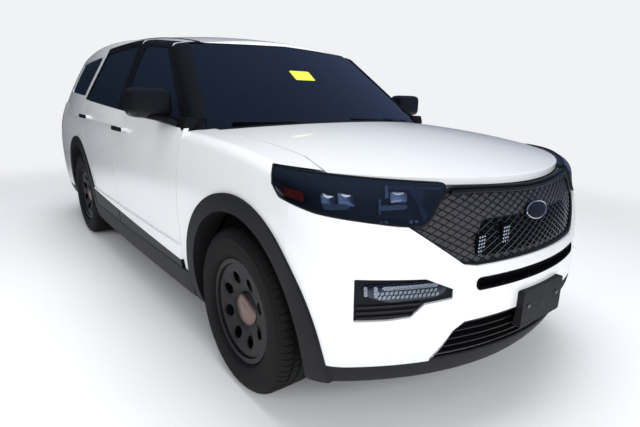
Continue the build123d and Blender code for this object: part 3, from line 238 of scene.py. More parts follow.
# %% Finishes of the solid parts
SIDES = ("left", "right")
dress(enamel, "hood", "front_wings", "front_bumper", "rear_bumper", "quarter_panels", "roof_panel",
      "liftgate")
dress(door_finish, *[f"{end}_door_{side}" for end in ("front", "rear") for side in SIDES])
dress(rail_finish, "roof_rails")
dress(moulded, "arch_trim", "sill_trim", "valances", "cowl", "plate_bracket", "wheel_liners", "fog_lamps")
dress(satin, "door_mirror_left", "door_mirror_right", "door_pillars")
dress(mesh_grey, "grille")
glass_nodes = [f"{end}_door_glass_{side}" for end in ("front", "rear") for side in SIDES]
dress(tinted, "quarter_glass", "liftgate_glass", *glass_nodes)
dress(clear_glass, "windscreen")
dress(ruby, "tail_lamps")
dress(wheel_paint, *[f"rim_{end}_{side}" for end in ("front", "rear") for side in SIDES])
dress(primer, "front_frame", "front_suspension", "rear_suspension", "knuckle_left", "knuckle_right", "sills")
dress(carpet, "floor_pan")
dress(cast, "engine_block", "driveline")
dress(zinc, "half_shafts")
dress(core, "radiator")
dress(pipe_steel, "exhaust")
dress(tank_plastic, "fuel_tank")
dress(dash_skin, "dashboard", "steering_wheel")

# %% [markdown]
# ## Making pieces from whole arrays
# Every new piece is a grid of points worked out in one go: two parameters run over the grid, and a formula
# gives all points at once. A grid whose ends meet is closed there, and points that fall together at a pole
# are merged. What is left is a closed shell, whose faces are then turned outwards.

# %% From a grid of points to a piece


def grid_faces(rows, columns, loop_rows=False, loop_columns=False):
    """Corner numbers of the quads between neighbouring grid points, going round where a direction closes."""
    a, b = np.meshgrid(np.arange(rows if loop_rows else rows - 1),
                       np.arange(columns if loop_columns else columns - 1), indexing="ij")
    here, beyond = a * columns, (a + 1) % rows * columns
    b2 = (b + 1) % columns
    return np.stack([here + b, beyond + b, beyond + b2, here + b2], -1).reshape(-1, 4)


def joined(shells):
    """Several shells, each its points and its faces, as one set of points and faces."""
    starts = np.cumsum([0] + [len(points) for points, _ in shells[:-1]])
    return (np.concatenate([points for points, _ in shells]),
            np.concatenate([faces + start for (_, faces), start in zip(shells, starts)]))


def piece(name, shells, material, body, crease=35.0):
    """A mesh object from shells, merged at seams and poles, turned outwards and riding on its body."""
    points, faces = joined(shells)
    shape = bpy.data.meshes.new(name)
    shape.from_pydata(points.reshape(-1, 3).tolist(), [], faces.tolist())
    work = bmesh.new()
    work.from_mesh(shape)
    bmesh.ops.remove_doubles(work, verts=work.verts, dist=2e-6)
    bmesh.ops.recalc_face_normals(work, faces=work.faces)
    work.to_mesh(shape)
    work.free()
    shape.shade_smooth()
    shape.set_sharp_from_angle(angle=math.radians(crease))
    shape.materials.append(material)
    made = bpy.data.objects.new(name, shape)
    bpy.context.scene.collection.objects.link(made)
    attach(made, body)
    print(f"{name}: {len(shape.polygons)} faces")
    return made


def both_sides(shells):
    """The given shells and their images across the car's middle plane."""
    return shells + [(points * (1, -1, 1), faces) for points, faces in shells]


def circle(radius, count=12):
    """A closed round section: points at equal angles about the middle."""
    turn = np.linspace(0, 2 * np.pi, count, endpoint=False)
    return np.stack([radius * np.cos(turn), radius * np.sin(turn)], -1)


def slab_section(width, height, round_off=0.25, count=16):
    """A rounded rectangle: the superellipse |a/w|^n + |b/h|^n = 1, with n from how round its corners are."""
    turn = np.linspace(0, 2 * np.pi, count, endpoint=False) + np.pi / count
    corner = np.stack([np.cos(turn), np.sin(turn)], -1)
    return np.array((width, height)) / 2 * np.sign(corner) * np.abs(corner) ** round_off


def sweep(path, section, up=(0, 0, 1), loop=False):
    """A section along a path: point = path + across * side + height * normal, its ends drawn to a point."""
    path = np.asarray(path, float)
    if loop:
        tangent = np.roll(path, -1, 0) - np.roll(path, 1, 0)
    else:
        tangent = np.gradient(path, axis=0)
    tangent /= np.linalg.norm(tangent, axis=1, keepdims=True)
    side = np.cross(np.broadcast_to(up, path.shape), tangent)
    side /= np.linalg.norm(side, axis=1, keepdims=True)
    normal = np.cross(tangent, side)
    ring = path[:, None] + section[None, :, :1] * side[:, None] + section[None, :, 1:] * normal[:, None]
    if not loop:
        ends = [np.repeat(path[k][None, None], len(section), 1) for k in (0, -1)]
        ring = np.concatenate([ends[0], ring, ends[1]])
    return ring.reshape(-1, 3), grid_faces(len(ring), len(section), loop, True)


def lathe(profile, centre, outward, count=48):
    """A profile of (radius, offset) turned about an axle at a centre; outward is +1 for the left side."""
    profile = np.asarray(profile, float)
    turn = np.linspace(0, 2 * np.pi, count, endpoint=False)[:, None]
    radius, offset = profile[:, 0] * np.ones_like(turn), profile[:, 1] * outward * np.ones_like(turn)
    points = np.stack([radius * np.cos(turn), offset, radius * np.sin(turn)], -1)
    return (points + centre).reshape(-1, 3), grid_faces(count, len(profile), True, True)


def soft_outline(corners, count=120, rounding=5):
    """A closed outline with rounded corners: equal steps along its sides, then a running mean round it."""
    corners = np.asarray(corners, float)
    closed = np.concatenate([corners, corners[:1]])
    run = np.concatenate([[0], np.cumsum(np.linalg.norm(np.diff(closed, axis=0), axis=1))])
    steps = np.linspace(0, run[-1], count, endpoint=False)
    line = np.stack([np.interp(steps, run, closed[:, k]) for k in (0, 1)], -1)
    shifts = range(-(rounding // 2), rounding // 2 + 1)
    return np.mean([np.roll(line, k, 0) for k in shifts], 0)


def plate(outline, place, rows):
    """A shell over an outline: each row is (share of the way out, depth), and place puts it on a skin."""
    middle = outline.mean(0)
    rings = [place(middle + share * (outline - middle), depth) for share, depth in rows]
    return np.stack(rings).reshape(-1, 3), grid_faces(len(rows), len(outline), False, True)


def slab_rows(front, back, steps=6):
    """Rows of a plain plate between two depths."""
    shares = np.linspace(0, 1, steps)
    return [(s, front) for s in shares] + [(s, back) for s in shares[::-1]]


# %% [markdown]
# ## Skins to fit things to
# Trim follows the bodywork behind it. Rather than copy the panels' shapes, a low polynomial is fitted to
# their points: least squares over all of them, and then again over those that lie on its outer side, until
# the inner faces have dropped away.

# %% Skins fitted to the solid parts


def cad_points(name):
    """A solid part's points, one row each."""
    corners = NODES[name].data.vertices
    flat = np.empty(len(corners) * 3, np.float32)
    corners.foreach_get("co", flat)
    return flat.reshape(-1, 3).astype(float)


def outer_skin(across, up, out, order=5):
    """A function (across, up) -> out: the polynomial of a given order through the outermost points."""
    centre, span = (across.mean(), up.mean()), (np.ptp(across), np.ptp(up))
    powers = [(i, j) for i in range(order + 1) for j in range(order + 1 - i)]

    def terms(a, b):
        a, b = (a - centre[0]) / span[0], (b - centre[1]) / span[1]
        return np.stack([a ** i * b ** j for i, j in powers], -1)

    base = terms(across, up)
    keep = np.ones(len(out), bool)
    for slack in (0.05, 0.02, 0.01, 0.006, 0.004, 0.003, 0.002, 0.0015):
        weights = np.linalg.lstsq(base[keep], out[keep], rcond=None)[0]
        keep = out - base @ weights > -slack
    error = np.abs(out[keep] - base[keep] @ weights).max()
    print(f"skin through {keep.sum()} of {len(out)} points, largest error {error * 1000:.1f} mm")
    return lambda a, b: terms(a, b) @ weights


grille_cad = cad_points("grille")
grille_back = outer_skin(grille_cad[:, 1], grille_cad[:, 2], grille_cad[:, 0])
nose_cad = cad_points("front_bumper")
nose_cad = nose_cad[(np.abs(nose_cad[:, 1]) < 0.62) & (nose_cad[:, 2] < 0.72)]
nose_skin = outer_skin(nose_cad[:, 1], nose_cad[:, 2], nose_cad[:, 0])
screen_cad = cad_points("windscreen")
screen_skin = outer_skin(screen_cad[:, 1], screen_cad[:, 2], screen_cad[:, 0])
gate_cad = cad_points("liftgate")
gate_cad = gate_cad[(gate_cad[:, 2] < 1.17) & (gate_cad[:, 0] < -2.3)]
gate_skin = outer_skin(gate_cad[:, 1], gate_cad[:, 2], -gate_cad[:, 0])
roof_cad = cad_points("roof_panel")
roof_skin = outer_skin(roof_cad[:, 0], roof_cad[:, 1], roof_cad[:, 2])

LAMP_TURN = math.radians(39.0)
TURN_COS, TURN_SIN = math.cos(LAMP_TURN), math.sin(LAMP_TURN)


def corner_skin(name):
    """The skin of a front corner's part in its own plane: along the corner, up, and straight out from it."""
    points = cad_points(name)
    points = points[points[:, 1] > 0]
    along = points[:, 1] * TURN_COS - points[:, 0] * TURN_SIN
    out = points[:, 0] * TURN_COS + points[:, 1] * TURN_SIN
    return outer_skin(along, points[:, 2], out, 4)


lamp_skin = corner_skin("headlamps")
fog_skin = corner_skin("fog_lamps")


def on_corner(skin):
    """A place function for plates in a front corner: depth is counted inwards from the skin."""
    def place(flat, depth):
        out = skin(flat[..., 0], flat[..., 1]) - depth
        return np.stack([out * TURN_COS - flat[..., 0] * TURN_SIN, out * TURN_SIN + flat[..., 0] * TURN_COS,
                         flat[..., 1]], -1)
    return place


def facing(skin, forward=1.0):
    """A place function for plates seen from ahead (or from behind): flat is (y, z), depth counts inwards."""
    def place(flat, depth):
        out = skin(flat[..., 0], flat[..., 1]) - depth
        return np.stack([forward * out, flat[..., 0], flat[..., 1]], -1)
    return place


on_grille, on_nose, on_gate = facing(grille_back), facing(nose_skin), facing(gate_skin, -1.0)
on_screen = facing(screen_skin)

# %% [markdown]
# ## Grille
# The grille is one moulding: flat grey pads between thin dark ribs that cross in diamonds, wider than they
# are high. Over the grey pads the ribs' gloss black is painted shade: it stands for the shadow in the grooves
# between the pads. Over the middle they are the real ribs. Each rib is a straight line as seen from ahead, so
# it is swept along the grille's skin, from one edge to the other. A matt black plate under the ribs of the
# middle is painted shade: it stands for the dark depth seen through the open cells there. In front stand a
# plain oval plate and, on the right-hand side, two small modules of clear domes.

# %% Lattice, surround, oval plate and light modules
RIB_WIDTH, RIB_DEPTH = 5.0 * MM, 5.0 * MM
DIAMOND_HIGH = 0.0275
RIB_SLOPE = 0.53
grille_front = grille_cad[grille_cad[:, 0] > grille_back(grille_cad[:, 1], grille_cad[:, 2]) - 0.003]
bins = np.linspace(0, 0.44, 12)
tops = [grille_front[np.abs(np.abs(grille_front[:, 1]) - b) < 0.03][:, 2].max() for b in bins]
top_line = np.polyfit(bins, tops, 3)
half_edge = [(b, np.polyval(top_line, b) - 0.003) for b in bins] + [
    (0.452, 1.008), (0.505, 0.966), (0.549, 0.906), (0.580, 0.881), (0.628, 0.878), (0.447, 0.739),
    (0.380, 0.727), (0.0, 0.727)]
grille_edge = np.array(half_edge + [(-y, z) for y, z in half_edge[-2:0:-1]])
grille_line = soft_outline(grille_edge, 300, 5)


def inside(flat, outline):
    """Whether points lie in an outline: an odd number of its sides cross the level line to their right."""
    a, b = outline, np.roll(outline, -1, 0)
    y, z = flat[..., 0, None], flat[..., 1, None]
    span = (a[:, 1] > z) != (b[:, 1] > z)
    rise = np.where(b[:, 1] == a[:, 1], 1e-9, b[:, 1] - a[:, 1])
    reach = a[:, 0] + (z - a[:, 1]) * (b[:, 0] - a[:, 0]) / rise
    return (span & (y < reach)).sum(-1) % 2 == 1


def ribs_over(outline, place, slope, step, width, deep):
    """Parallel ribs clipped to an outline, each swept over the skin with its foot a little way into it."""
    low, high = outline.min(0), outline.max(0)
    across = np.linspace(low[0], high[0], 500)
    shells = []
    reach = abs(slope) * max(abs(low[0]), abs(high[0]))
    for level_at in np.arange(low[1] - reach, high[1] + reach, step):
        line = np.stack([across, level_at + slope * across], -1)
        runs = np.flatnonzero(inside(line, outline))
        if len(runs) < 12:
            continue
        for run in np.split(runs, np.flatnonzero(np.diff(runs) > 1) + 1):
            if len(run) < 8:
                continue
            stops = np.linspace(run[0], run[-1], max(6, len(run) // 14))
            part = np.stack([np.interp(stops, run, line[run, k]) for k in (0, 1)], -1)
            shells.append(sweep(place(part, -deep / 5), slab_section(width, deep, 0.5, 8), up=(1, 0, 0)))
    return shells


rib_edge = grille_edge * (0.992, 1.0)
# Where the ribs cross the grey pads, their gloss black is painted shade of the grooves. Over the open middle it
# is the real ribs' colour.
lattice = [rib for slope in (RIB_SLOPE, -RIB_SLOPE)
           for rib in ribs_over(rib_edge, on_grille, slope, DIAMOND_HIGH, RIB_WIDTH, RIB_DEPTH)]
piece("grille_ribs_and_groove_shade", lattice, gloss, "body")
surround = sweep(on_grille(grille_line, -0.009), circle(0.0075, 10), up=(1, 0, 0), loop=True)
bar_span = np.linspace(-0.452, 0.452, 60)
top_bar_at = on_grille(np.stack([bar_span, np.polyval(top_line, np.abs(bar_span)) - 0.016], -1), -0.012)
top_bar = sweep(top_bar_at, slab_section(0.014, 0.024, 0.45, 16), up=(1, 0, 0))
piece("grille_surround", [surround, top_bar], satin, "body")
# Painted shade: a matt black sheet standing for the dark depth seen through the grille's open middle cells.
window = soft_outline([(-0.36, 0.752), (-0.335, 0.888), (0.335, 0.888), (0.36, 0.752)], 100, 5)
piece("grille_painted_shade_plate", [plate(window, on_grille, slab_rows(-0.0025, 0.0))], matt_black, "body")
BADGE_AT, BADGE_HALF = (0.0, 0.893), (0.079, 0.034)
turn = np.linspace(0, 2 * np.pi, 72, endpoint=False)
oval = np.stack([BADGE_AT[0] + BADGE_HALF[0] * np.cos(turn), BADGE_AT[1] + BADGE_HALF[1] * np.sin(turn)], -1)
oval_rows = [(0, -0.0205), (0.4, -0.0202), (0.8, -0.0192), (0.95, -0.018), (1.0, -0.016), (1.0, -0.004),
             (0, -0.004)]
piece("oval_plate", [plate(oval, on_grille, oval_rows)], satin, "body")
piece("oval_plate_rim", [sweep(on_grille(oval, -0.0165), circle(0.0030, 8), up=(1, 0, 0), loop=True)], bright,
      "body")


def globe(rows, columns):
    """Latitudes and longitudes of a grid that covers a ball from pole to pole."""
    return np.meshgrid(np.linspace(-np.pi / 2, np.pi / 2, rows),
                       np.linspace(0, 2 * np.pi, columns, endpoint=False), indexing="ij")


def rounded_box(centre, half, power=0.3, rows=14, columns=24):
    """A superellipsoid: cos and sin of latitude and longitude to a power below one, so that sides go flat."""
    lat, lon = globe(rows, columns)

    def flat(value):
        return np.sign(value) * np.abs(value) ** power

    wide = flat(np.cos(lat))
    points = np.stack([wide * flat(np.cos(lon)), wide * flat(np.sin(lon)), flat(np.sin(lat))], -1)
    return (points * half + centre).reshape(-1, 3), grid_faces(rows, columns, False, True)


MODULES_AT = ((-0.345, 0.800), (-0.215, 0.822))
LIGHT_ROWS, LIGHT_COLUMNS = 5, 3
modules, domes = [], []
for y, z in MODULES_AT:
    x = float(grille_back(np.array(y), np.array(z)))
    modules.append(rounded_box((x + 0.002, y, z), (0.003, 0.028, 0.040), 0.25))
    for j in range(LIGHT_ROWS):
        for k in range(LIGHT_COLUMNS):
            spot = (x + 0.0075, y + (k - 1) * 0.016, z + (j - 2) * 0.014)
            domes.append(rounded_box(spot, (0.0035, 0.0052, 0.0052), 0.9, 7, 12))
piece("light_modules", modules, matt_black, "body")
piece("light_module_lenses", domes, bright, "body")

# %% [markdown]
# ## Headlamps
# A headlamp is a clear cover over a black bowl. Inside stand two groups of reflectors, a light bar along the
# top, an amber marker at the rear end, and a bright fork at the inner end. The solid lamp is only a filled
# shape, so these pieces take its place.

# %% Headlamps
lamp_edge = soft_outline([(-1.105, 1.028), (-0.780, 1.049), (-0.455, 1.071), (-0.459, 1.006), (-0.489, 0.968),
                          (-0.626, 0.935), (-0.915, 0.893), (-1.018, 0.886)], 160, 7)
on_lamp = on_corner(lamp_skin)
BOWL = 0.048
bowl_rows = [(0, BOWL), (0.5, BOWL - 0.002), (0.86, BOWL - 0.008), (0.955, 0.012), (0.975, 0.0045),
             (0.992, 0.0045), (0.992, BOWL + 0.008), (0.5, BOWL + 0.014), (0, BOWL + 0.014)]
bowl = plate(lamp_edge, on_lamp, bowl_rows)
bowl_piece = piece("headlamp_bowls", both_sides([bowl]), satin, "body")
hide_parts("headlamps")
cover_shares = np.linspace(0, 0.985, 9)
cover_rows = [(s, 0.0012) for s in cover_shares] + [(0.99, 0.0022)]
cover_rows += [(s, 0.0036) for s in cover_shares[::-1]]
piece("headlamp_covers", both_sides([plate(lamp_edge, on_lamp, cover_rows)]), lamp_cover, "body")
rim_line = sweep(on_lamp(lamp_edge, 0.0030), circle(0.0036, 8), loop=True)
piece("headlamp_seals", both_sides([rim_line]), seal, "body")


def lamp_patch(corners, front, back, rounding=5):
    """A plate inside the lamp between two depths under its cover."""
    return plate(soft_outline(corners, 64, rounding), on_lamp, slab_rows(front, back))


def reflector(corners, deep, mouth=0.014):
    """A bowl-shaped reflector: depth falls with the square of the way in from its edge."""
    shares = np.linspace(1, 0, 8)
    rows = [(0, deep + 0.003), (1, mouth + 0.003)]
    rows += [(s, mouth + (deep - mouth) * (1 - s * s)) for s in shares]
    return plate(soft_outline(corners, 64, 7), on_lamp, rows)


cups = [reflector([(-0.640, 1.000), (-0.690, 0.996), (-0.694, 0.948), (-0.650, 0.946)], 0.036),
        reflector([(-0.700, 1.004), (-0.752, 1.000), (-0.764, 0.958), (-0.704, 0.956)], 0.036),
        reflector([(-0.884, 1.006), (-0.946, 1.002), (-0.948, 0.970), (-0.886, 0.970)], 0.036)]
piece("headlamp_reflectors", both_sides(cups), bright, "body")
prisms = [lamp_patch([(-0.648, 0.966), (-0.740, 0.968), (-0.742, 0.950), (-0.655, 0.944)], 0.012, 0.018),
          lamp_patch([(-0.868, 1.026), (-0.876, 1.027), (-0.880, 0.988), (-0.866, 0.986)], 0.010, 0.018, 3),
          lamp_patch([(-0.842, 0.962), (-0.948, 0.964), (-0.948, 0.947), (-0.846, 0.944)], 0.010, 0.018),
          lamp_patch([(-0.844, 0.984), (-0.852, 0.984), (-0.852, 0.930), (-0.846, 0.930)], 0.010, 0.016, 3)]
prisms += [lamp_patch([(t, 0.909), (t - 0.012, 0.908), (t - 0.012, 0.898), (t, 0.899)], 0.008, 0.014, 3)
           for t in (-0.850, -0.868, -0.958, -0.978)]
piece("headlamp_prisms", both_sides(prisms), crystal, "body")
bar = lamp_patch([(-0.875, 1.0265), (-1.080, 1.0155), (-1.076, 1.006), (-0.875, 1.0145)], 0.009, 0.018, 3)
fork = lamp_patch([(-0.955, 1.010), (-1.012, 1.006), (-1.004, 0.968), (-1.030, 0.905), (-1.010, 0.900),
                   (-0.984, 0.962)], 0.012, 0.020, 3)
piece("headlamp_light_bars", both_sides([bar, fork]), dark_chrome, "body")
marker = lamp_patch([(-0.496, 1.008), (-0.580, 0.998), (-0.586, 0.964), (-0.512, 0.974)], 0.007, 0.020)
piece("headlamp_markers", both_sides([marker]), amber, "body")

# %% [markdown]
# ## Fog lamps, slot and lower intake
# The pocket in each front corner holds a clear bar lamp above three fins. The slot in the bumper has a black
# edge and a screen behind it, and the lower intake is crossed by level vanes that follow the bumper's curve.

# %% Fog lamps
on_fog = on_corner(fog_skin)
fog_edge = soft_outline([(-0.797, 0.687), (-1.080, 0.690), (-1.112, 0.672), (-1.112, 0.642),
                         (-1.072, 0.625), (-0.885, 0.618), (-0.812, 0.642)], 96, 7)
bar_rows = [(0, -0.0095), (0.5, -0.0095), (0.85, -0.0088), (0.96, -0.0070), (1.0, -0.0045), (1.0, -0.0005),
            (0, -0.0005)]
piece("fog_bar_housings", both_sides([plate(fog_edge, on_fog, bar_rows)]), dark_chrome, "body")
cells = []
for k in range(14):
    for low, high, lean in ((0.634, 0.647, 0.0), (0.650, 0.663, 0.008)):
        left = -0.856 - 0.0165 * k + lean
        corners = [(left, high), (left - 0.0115, high), (left - 0.0075, low), (left + 0.0040, low)]
        cells.append(plate(soft_outline(corners, 16, 3), on_fog, slab_rows(-0.0112, -0.0080, 3)))
ends = [[(-0.800, 0.684), (-0.813, 0.684), (-0.815, 0.646), (-0.803, 0.648)],
        [(-0.836, 0.682), (-0.850, 0.682), (-0.852, 0.640), (-0.839, 0.642)],
        [(-0.862, 0.681), (-1.074, 0.683), (-1.082, 0.668), (-0.864, 0.667)]]
cells += [plate(soft_outline(corners, 40, 3), on_fog, slab_rows(-0.0112, -0.0080, 4)) for corners in ends]
piece("fog_bar_cells", both_sides(cells), crystal, "body")
fins = []
for z, end in ((0.604, -1.015), (0.583, -1.000), (0.562, -0.985)):
    line = np.stack([np.linspace(-0.779, end, 16), np.linspace(z, z + 0.004, 16)], -1)
    fins.append(sweep(on_fog(line, -0.004), slab_section(0.006, 0.010, 0.6, 10)))
piece("fog_pocket_fins", both_sides(fins), satin, "body")

# %% Slot screen and intake vanes
slot_edge = soft_outline([(-0.388, 0.635), (-0.388, 0.675), (0.388, 0.675), (0.388, 0.635)], 120, 3)
piece("slot_screen", [plate(slot_edge, on_nose, slab_rows(0.024, 0.028))], matt_black, "body")
slot_wall = sweep(on_nose(slot_edge, 0.014), slab_section(0.014, 0.030, 0.4, 16), up=(1, 0, 0), loop=True)
piece("slot_frame", [slot_wall], matt_black, "body")
intake_edge = soft_outline([(-0.548, 0.352), (-0.476, 0.478), (-0.433, 0.508), (0.433, 0.508),
                            (0.476, 0.478), (0.548, 0.352)], 160, 3)
vanes = []
for z, reach in ((0.372, 0.528), (0.405, 0.510), (0.438, 0.494), (0.471, 0.474)):
    span = np.linspace(-reach, reach, 60)
    path = on_nose(np.stack([span, np.full_like(span, z)], -1), 0.030)
    vanes.append(sweep(path, slab_section(0.040, 0.0085, 0.55, 14)))
piece("intake_vanes", vanes, satin, "body")
piece("intake_screen", [plate(intake_edge, on_nose, slab_rows(0.052, 0.056))], gloss, "body")
intake_line = soft_outline([(-0.537, 0.352), (-0.478, 0.479), (-0.433, 0.510), (0.0, 0.520), (0.433, 0.510),
                            (0.478, 0.479), (0.537, 0.352)], 240, 3)
intake_wall = sweep(on_nose(intake_line, 0.010), slab_section(0.014, 0.018, 0.5, 12), up=(1, 0, 0), loop=True)
piece("intake_frame", [intake_wall], moulded, "body")

# %% Screws of the plate bracket
BRACKET_FACE = float(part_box("plate_bracket")[1][0])
heads = [rounded_box((BRACKET_FACE + 0.001, y, z), (0.0035, 0.009, 0.009), 0.7, 9, 20)
         for y, z in ((-0.118, 0.520), (0.118, 0.520))]
piece("bracket_screws", heads, zinc, "body")
wells = [rounded_box((BRACKET_FACE - 0.001, y, z), (0.0018, radius, radius), 0.9, 7, 24)
         for y, z, radius in ((0.0, 0.497, 0.013), (0.075, 0.468, 0.009), (-0.075, 0.468, 0.009))]
piece("bracket_wells", wells, seal, "body")

# %% [markdown]
# ## Door mirrors
# A mirror is a wide rounded case on a flat arm that leaves the door's front corner, with a bright glass let
# into its back. The solid mirror is only a filled shape, so these pieces take its place.

# %% Mirror cases, arms and glasses
MIRROR_AT = (0.770, 1.018, 1.270)
for side, sign in (("left", 1.0), ("right", -1.0)):
    x, y, z = np.array(MIRROR_AT) * (1, sign, 1)
    case = rounded_box((x, y, z), (0.070, 0.115, 0.078), 0.42, 24, 40)
    arm_line = np.array([(x + 0.005, y + sign * 0.02, z - 0.066), (x + 0.090, y - sign * 0.05, z - 0.082),
                         (x + 0.180, y - sign * 0.105, z - 0.108)])
    arm = sweep(arm_line, slab_section(0.075, 0.026, 0.5, 16))
    door = f"front_door_{side[0]}"
    made = piece(f"mirror_case_{side}", [case, arm], satin, door)
    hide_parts(f"door_mirror_{side}")
    glass = rounded_box((x - 0.068, y, z), (0.0045, 0.092, 0.058), 0.35, 16, 32)
    piece(f"mirror_glass_{side}", [glass], bright, door)

# %% [markdown]
# ## Tyres and wheels
# A tyre is a profile turned about the axle. Its radius depends on two things at once: across the tread it
# drops into four grooves that run all the way round, and around the tyre it drops again once in every
# pitch, for the cross cuts between the blocks. The wheel's rim keeps its solid shape, and gains a pressed
# disc and a cap.

# %% Tyres
AXLE_X = {"front": 1.6305, "rear": -1.3945}
AXLE_Y, AXLE_Z = 0.851, 0.381
PITCHES, PER_PITCH = 72, 8
side_wall = [(0.2404, 0.0966), (0.2460, 0.1050), (0.2525, 0.1150), (0.2570, 0.1195), (0.2600, 0.1185),
             (0.2700, 0.1225), (0.2900, 0.1262), (0.3120, 0.1275), (0.3300, 0.1262), (0.3330, 0.1268),
             (0.3370, 0.1262), (0.3400, 0.1245), (0.3520, 0.1200), (0.3610, 0.1140), (0.3680, 0.1080),
             (0.3745, 0.1010), (0.3780, 0.0930), (0.3795, 0.0820), (0.3802, 0.0700)]
crown = [(0.3802, 0.0692), (0.3732, 0.0686), (0.3732, 0.0614), (0.3805, 0.0608), (0.3808, 0.0450),
         (0.3809, 0.0292), (0.3735, 0.0286), (0.3735, 0.0214), (0.3810, 0.0208), (0.3810, 0.0080)]
outer_half = [(0.2263, 0.0936)] + side_wall + crown
around_section = np.array(outer_half + [(r, -y) for r, y in outer_half[::-1]])


def tyre(centre, outward):
    """Radius = profile(y) - cut(turn, y): deep cuts across the shoulders, narrower ones across the ribs."""
    count = PITCHES * PER_PITCH
    turn = np.linspace(0, 2 * np.pi, count, endpoint=False)[:, None]
    step = np.arange(count)[:, None] % PER_PITCH
    radius, offset = around_section[:, 0][None], around_section[:, 1][None]
    wide = np.abs(offset)
    shoulder = (wide > 0.0695) & (wide < 0.110) & (step < 2)
    middle = (wide > 0.0290) & (wide < 0.0610) & (step == 4)
    centre_rib = (wide < 0.0215) & (step == 7) & (radius > 0.3800)
    radius = radius - 0.0050 * shoulder - 0.0035 * middle - 0.0020 * centre_rib
    offset = offset * outward * np.ones_like(turn)
    points = np.stack([radius * np.cos(turn), offset, radius * np.sin(turn)], -1)
    return (points + centre).reshape(-1, 3), grid_faces(count, len(around_section), True, True)


# %% [markdown]
# A pressed steel wheel carries its disc near the outer edge, with large round hand holes. Between two turned
# rings stand eight webs. A web is as wide as its share of the circle, less half a hole on each side, so the
# edges of two neighbours draw the hole between them.

# %% Pressed discs, caps and tyres on their wheels
WEBS, HOLE_AT, HOLE_RADIUS = 8, 0.1490, 0.0290
RING_IN, RING_OUT = 0.108, 0.186


def disc_offset(radius):
    """Height of the disc's outer face over the wheel's middle plane: high at the rim, lower at the hub."""
    return 0.066 + 0.030 * np.clip((radius - 0.085) / 0.105, 0, 1) ** 0.8


def web(hub, outward, at):
    """One web: at each radius, width = share of the circle - chord of the hole, and 4 mm thick."""
    radius = np.linspace(RING_IN - 0.004, RING_OUT + 0.004, 26)
    chord = np.sqrt(np.clip(HOLE_RADIUS ** 2 - (radius - HOLE_AT) ** 2, 0, None))
    half = np.pi * radius / WEBS - chord + 0.0005
    across = np.array([-1.0, -0.5, 0.0, 0.5, 1.0, 1.0, 0.0, -1.0])
    back = np.array([0, 0, 0, 0, 0, 1, 1, 1]) * 0.004
    angle = at + across[None] * (half / radius)[:, None]
    radius = radius[:, None] * np.ones_like(angle)
    offset = (disc_offset(radius) - back[None] - 0.003 * (np.abs(across)[None] > 0.9)) * outward
    ring = np.stack([radius * np.cos(angle), offset, radius * np.sin(angle)], -1)
    ends = [np.repeat(ring[k].mean(0)[None, None], len(across), 1) for k in (0, -1)]
    ring = np.concatenate([ends[0], ring, ends[1]])
    return (ring + hub).reshape(-1, 3), grid_faces(len(ring), len(across), False, True)




def ring_profile(inner, outer):
    """The section of one of the disc's turned rings, 5 mm thick."""
    radius = np.linspace(inner, outer, 7)
    height = disc_offset(radius)
    return np.concatenate([np.stack([radius, height], -1), np.stack([radius, height - 0.005], -1)[::-1]])


RINGS = (ring_profile(RING_OUT, 0.2135), ring_profile(0.062, RING_IN))
CAP = [(0, 0.0890), (0.015, 0.0888), (0.030, 0.0880), (0.034, 0.0862), (0.045, 0.0852), (0.060, 0.0820),
       (0.072, 0.0772), (0.0800, 0.0710), (0.0825, 0.0650), (0.0825, 0.0600), (0, 0.0600)]
for end, x in AXLE_X.items():
    for side, outward in (("left", 1), ("right", -1)):
        hub = np.array((x, AXLE_Y * outward, AXLE_Z))
        wheel = f"wheel_{end}_{side}"
        made = piece(f"tyre_tread_{end}_{side}", [tyre(hub, outward)], rubber, wheel, 28.0)
        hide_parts(f"tyre_{end}_{side}")
        disc = [web(hub, outward, 2 * np.pi * k / WEBS) for k in range(WEBS)]
        disc += [lathe(profile, hub, outward, 96) for profile in RINGS]
        piece(f"wheel_disc_{end}_{side}", disc, wheel_paint, wheel, 40.0)
        piece(f"wheel_cap_{end}_{side}", [lathe(CAP, hub, outward, 72)], cap_steel, wheel, 40.0)

# %% [markdown]
# ## Seats
# A seat is foam under cloth, so each part of it is a superellipsoid, flat in its middle and round at its
# edges, and its sides are raised into bolsters. A seam runs down each panel where the cover is pulled in.

# %% Seats
cloth = finish("seat_cloth", "2C2D31", "24252A", 1.0, 0.6, 0.9, Roughness=0.92, Sheen_Weight=0.3)


def cushion(centre, half, turned_by, bolster=0.02, seams=2):
    """A padded block: thickness = half + bolster at the sides - seams, each a narrow dip across the width."""
    rows, columns = 40, 72
    lat, lon = globe(rows, columns)

    def flat(value, power):
        return np.sign(value) * np.abs(value) ** power

    x = flat(np.cos(lat), 0.35) * flat(np.cos(lon), 0.3)
    y = flat(np.cos(lat), 0.35) * flat(np.sin(lon), 0.3)
    z = flat(np.sin(lat), 0.5)
    top = np.clip(z, 0, 1)
    lanes = np.linspace(-0.55, 0.55, seams) if seams else np.array([9.0])
    dip = 0.008 * np.exp(-((y[..., None] - lanes) / 0.035) ** 2).max(-1)
    high = z * half[2] + top * (bolster * np.abs(y) ** 4 - dip)
    c, s = math.cos(turned_by), math.sin(turned_by)
    far = x * half[0]
    points = np.stack([c * far + s * high, y * half[1], c * high - s * far], -1)
    return (points + centre).reshape(-1, 3), grid_faces(rows, columns, False, True)


